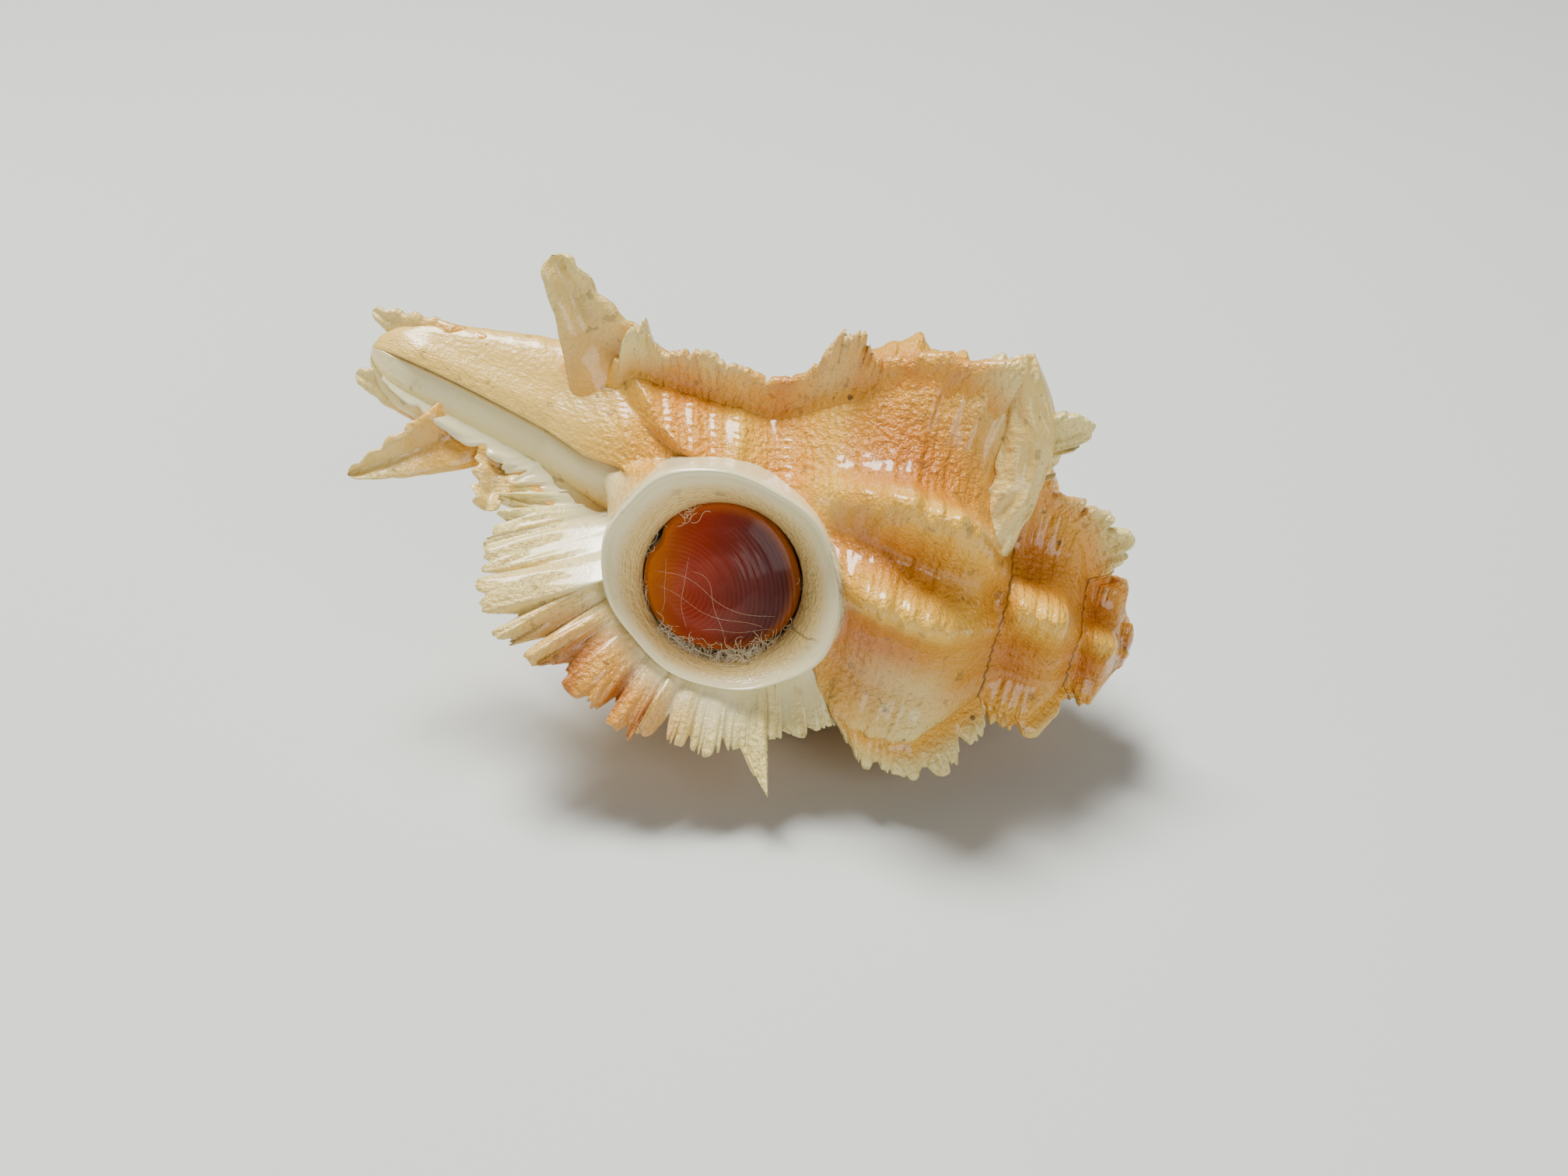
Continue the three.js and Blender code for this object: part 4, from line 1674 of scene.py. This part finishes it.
@dataclass(frozen=True)
class Tangle:
    """Curled fibres caught along a stretch of the plate's edge.

    `start` and `stop` are degrees round the plate, from the apex towards the lip.  `spread` is how far they stray
    in and out, `lift` how far they stand off the plate and `length` how long they are, in millimetres.
    """

    count: int
    start: float
    stop: float
    spread: float
    lift: float
    length: float

    def fibres(self, chance: np.random.Generator, plate: Operculum, steps: int) -> list[Array]:
        """Lays the fibres.

        Args:
            chance: random numbers.
            plate: the plate whose edge they follow.
            steps: how many steps a fibre has.

        Returns:
            One array of points a fibre, in the recess's own plane.
        """
        found = []
        share = np.linspace(0, 1, steps + 1)
        for _ in range(self.count):
            turn = math.radians(chance.uniform(self.start, self.stop))
            ring = 1 + chance.normal(0, 0.03)
            middle = np.array([plate.half_length * math.cos(turn), plate.half_width * math.sin(turn)]) * ring
            heading = turn + math.pi / 2 + chance.normal(0, 0.75)
            stride = self.length * chance.uniform(0.4, 1.5) / steps
            curve = chance.normal(0, 1.6)
            curl = 0.9 * np.sin(share * chance.uniform(3, 9) + chance.uniform(0, 6))
            angles = heading + curve * (share - 0.5) + curl
            walk = np.cumsum(np.stack([np.cos(angles), np.sin(angles)], -1), axis=0) * stride
            walk = walk - walk[steps // 2] + middle + chance.normal(0, self.spread, 2)
            lift = chance.uniform(0, self.lift)
            sway = 0.12 * np.sin(share * chance.uniform(3, 9) + chance.uniform(0, 6))
            found.append(np.column_stack([walk, lift + sway]))
        return found


@dataclass(frozen=True)
class Stray:
    """One long loose fibre through (along, across, height) points, which swings a little to the side."""

    swing: float
    points: tuple[Point, ...]

    def path(self, chance: np.random.Generator, steps: int) -> Array:
        """Lays the fibre.

        Args:
            chance: random numbers.
            steps: how many steps it has.

        Returns:
            Its points, in the recess's own plane.
        """
        share = np.linspace(0, 1, steps + 1)
        knots = np.linspace(0, 1, len(self.points))
        path = np.column_stack([np.interp(share, knots, line) for line in np.array(self.points).T])
        for _ in range(3):
            path[1:-1] = (path[:-2] + 2 * path[1:-1] + path[2:]) / 4
        swing = np.sin(share * chance.uniform(5, 9) + chance.uniform(0, 6)) * np.sin(math.pi * share)
        path[:, 1] += self.swing * swing
        return path


@dataclass
class Cotton:
    """Cotton wool packed behind and round the operculum, with loose fibres across it."""

    aperture: Aperture
    plate: Operculum
    thread: float = 0.0075
    stray_share: float = 0.42
    edge_drop: float = 0.25
    sides: int = 5
    steps: int = 16
    seed: int = 5
    pad_half_length: float = 2.78
    pad_half_width: float = 2.66
    pad_half_height: float = 0.36
    pad_height: float = -2.45
    tangles: tuple[Tangle, ...] = (
        Tangle(190, 18, 112, 0.17, 0.34, 1.25),
        Tangle(12, 130, 205, 0.04, 0.1, 0.8),
        Tangle(16, 206, 224, 0.10, 0.4, 0.8),
        Tangle(60, 28, 62, 0.2, 0.7, 1.1),
        Tangle(8, -40, 20, 0.04, 0.1, 0.8),
    )
    strays: tuple[Stray, ...] = (
        Stray(0.18, ((-2.5, 0.9, 0.7), (-1.2, 0.4, 1.0), (0.2, 0.5, 1.05), (1.6, 0.2, 0.9), (2.4, -0.1, 0.6))),
        Stray(0.2, ((-2.1, 1.3, 0.6), (-0.6, 1.1, 1.0), (0.9, 0.8, 1.0), (2.3, 0.5, 0.6))),
        Stray(0.1, ((-1.6, -0.4, 0.9), (-1.2, 0.5, 1.0), (-0.9, 1.5, 0.9), (-0.2, 2.1, 0.6))),
        Stray(0.15, ((-1.3, 0.1, 0.95), (-0.4, -0.1, 1.05), (0.4, 0.9, 1.0), (1.2, 1.7, 0.6))),
        Stray(0.12, ((2.5, 0.4, 0.6), (1.3, 1.1, 1.0), (0.2, 1.9, 0.7))),
        Stray(0.1, ((-2.3, 0.2, 0.5), (-1.5, 1.4, 0.9), (-1.3, 2.2, 0.4))),
    )

    def fibres(self) -> list[Array]:
        """Lays all the fibres, the strays last.

        Returns:
            Their points, in the recess's own plane.
        """
        chance = np.random.default_rng(self.seed)
        found = []
        for tangle in self.tangles:
            found += tangle.fibres(chance, self.plate, self.steps)
        for stray in self.strays:
            found.append(stray.path(chance, self.steps))
        return [path - [0, 0, self.plate.below + self.edge_drop] for path in found]

    def tube_mesh(self, paths: Sequence[Array]) -> bpy.types.Mesh:
        """Thin tubes along paths of points.

        Args:
            paths: the points of each fibre.

        Returns:
            One mesh of separate closed tubes, in the paths' own frame.
        """
        stops = self.steps + 1
        rows = len(paths) * stops - 1
        bm = flat_grid(self.sides, rows)
        bridging = []
        for face in bm.faces:
            lower = round((min(v.co.y for v in face.verts) + 1) / 2 * rows)
            if lower % stops == self.steps:
                bridging.append(face)
        bmesh.ops.delete(bm, geom=bridging, context="FACES_ONLY")
        centres = np.concatenate(paths)
        ahead = unit(np.concatenate([np.gradient(path, axis=0) for path in paths]))
        first = unit(np.cross(ahead, [0.31, 0.27, 0.91]))
        second = np.cross(ahead, first)

        def place(column: Array, row: Array) -> tuple[Array, Values]:
            """Points of the tubes.

            Args:
                column: column, round a tube.
                row: row, along one tube after another.

            Returns:
                The points and the named values there.
            """
            turn = TURN * column / self.sides
            share = (row % stops) / self.steps
            fine = np.where(row // stops >= len(paths) - len(self.strays), self.stray_share, 1.0)
            radius = self.thread * fine * np.sqrt(share_of(1 - (2 * share - 1) ** 8))
            offset = np.cos(turn)[:, None] * first[row] + np.sin(turn)[:, None] * second[row]
            return centres[row] + offset * radius[:, None], {}

        return bend(bm, "fibres", self.sides, rows, place, weld=1e-5)

    def pad_mesh(self) -> bpy.types.Mesh:
        """The lumpy pad behind the plate.

        Returns:
            The closed pad, in the recess's own plane.
        """
        around, rings = 64, 26

        def place(u: Array, v: Array) -> tuple[Array, Values]:
            """Points of the pad.

            Args:
                u: column, round the pad.
                v: row, from below to its top.

            Returns:
                The points and the named values there.
            """
            turn, way = TURN * u / around, math.pi * v / rings
            reach = np.sin(way) * (1 + 0.05 * np.sin(5 * turn + 3 * way) + 0.04 * np.sin(11 * turn + 1))
            return np.column_stack([self.pad_half_length * reach * np.cos(turn),
                                    self.pad_half_width * reach * np.sin(turn),
                                    self.pad_height - self.pad_half_height * np.cos(way)]), {}

        return skin("pad", around, rings, place)

    def build(self, matrix: Matrix, material: bpy.types.Material) -> bpy.types.Object:
        """Packs the cotton in.

        Args:
            matrix: from the shell's own frame to the row frame.
            material: its finish.

        Returns:
            The piece.
        """
        mesh = self.tube_mesh(self.fibres())
        bm = bmesh.new()
        bm.from_mesh(mesh)
        bm.from_mesh(self.pad_mesh())
        bm.transform(matrix @ self.aperture.recess_matrix())
        bm.to_mesh(mesh)
        bm.free()
        return add_piece("cotton_packing", mesh, "cotton_wad", material)


@dataclass(frozen=True)
class Lamp:
    """A square soft light that looks at the shell."""

    name: str
    place: Point
    size: float
    power: float
    colour: Point

    def add(self, aim: Vector) -> None:
        """Hangs the lamp.

        Args:
            aim: what it looks at.
        """
        data = bpy.data.lights.new(self.name, "AREA")
        data.size, data.energy, data.color = self.size, self.power, self.colour
        light = put_in_scene(self.name, data)
        light.location = self.place
        light.rotation_euler = (aim - light.location).to_track_quat("-Z", "Y").to_euler()


@dataclass
class Studio:
    """Floor, lights and camera."""

    azimuth: float = 8.8
    elevation: float = 29.9
    roll: float = 1.4
    distance: float = 79.7
    aim: Point = (1.56, 0.0, -3.75)
    focal: float = 2600.0
    width: int = 2016
    sensor: float = 36.0
    floor_size: float = 1.6
    floor_gap: float = 0.00002
    surround: Colour = (0.92, 0.94, 0.92, 1)
    surround_strength: float = 0.19
    lamps: tuple[Lamp, ...] = (
        Lamp("key", (-0.08, 0.06, 0.30), 0.12, 2.1, (1.0, 0.97, 0.92)),
        Lamp("fill", (0.20, -0.26, 0.16), 0.16, 0.45, (1.0, 0.99, 0.97)),
    )

    def add_floor(self) -> None:
        """A plain pale table under the shell."""
        bm = bmesh.new()
        bmesh.ops.create_grid(bm, x_segments=8, y_segments=8, size=self.floor_size / 2)
        mesh = bpy.data.meshes.new("floor")
        bm.to_mesh(mesh)
        bm.free()
        mesh.materials.append(FloorFinish().material())
        floor = put_in_scene("floor", mesh)
        floor.location.z = -self.floor_gap

    def add_lights(self, aim: Vector) -> None:
        """Soft key from above, fill from the front and a pale surround.

        Args:
            aim: what the lamps look at.
        """
        for lamp in self.lamps:
            lamp.add(aim)
        world = bpy.data.worlds.new("surround")
        world.use_nodes = True
        colour, strength, *_ = world.node_tree.nodes["Background"].inputs
        colour.default_value, strength.default_value = self.surround, self.surround_strength
        bpy.context.scene.world = world

    def add_camera(self, middle: Vector) -> None:
        """The camera, aimed a little off the shell's middle, with its horizon tipped.

        Args:
            middle: the shell's middle.
        """
        azimuth, elevation = math.radians(self.azimuth), math.radians(self.elevation)
        towards = Vector((math.sin(azimuth) * math.cos(elevation), -math.cos(azimuth) * math.cos(elevation),
                          math.sin(elevation)))
        data = bpy.data.cameras.new("camera")
        data.sensor_width = self.sensor
        data.lens = self.focal / self.width * self.sensor
        data.clip_start, data.clip_end = 0.002, 10.0
        camera = put_in_scene("camera", data)
        camera.location = middle + (Vector(self.aim) + towards * self.distance) * MM
        level = (-towards).to_track_quat("-Z", "Y").to_matrix()
        camera.rotation_euler = (level @ Matrix.Rotation(math.radians(self.roll), 3, "Z")).to_euler()
        bpy.context.scene.camera = camera

    def build(self, middle: Vector) -> None:
        """Sets the whole studio up round the shell.

        Args:
            middle: the shell's middle.
        """
        self.add_floor()
        self.add_lights(middle)
        self.add_camera(middle)


def main() -> None:
    """Builds the shell, its operculum and the cotton, then the studio."""
    logging.basicConfig(level=logging.INFO, format="%(message)s")
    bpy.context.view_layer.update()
    aperture, pose = Aperture(), Pose()
    shell = Shell(aperture=aperture)
    operculum = Operculum(aperture)
    cotton = Cotton(aperture, operculum)
    low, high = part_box("operculum")
    known_point = pose.turn().transposed() @ operculum.centre_of_box(pose.turn())
    matrix = pose.matrix(known_point, (low + high) / 2)
    shell.build(matrix, ShellFinish().material())
    operculum.build(matrix, HornFinish().material())
    cotton.build(matrix, CottonFinish().material())
    Studio().build(matrix @ Vector((0, 0, shell.whorls.length / 2)))


if __name__ == "__main__":
    main()
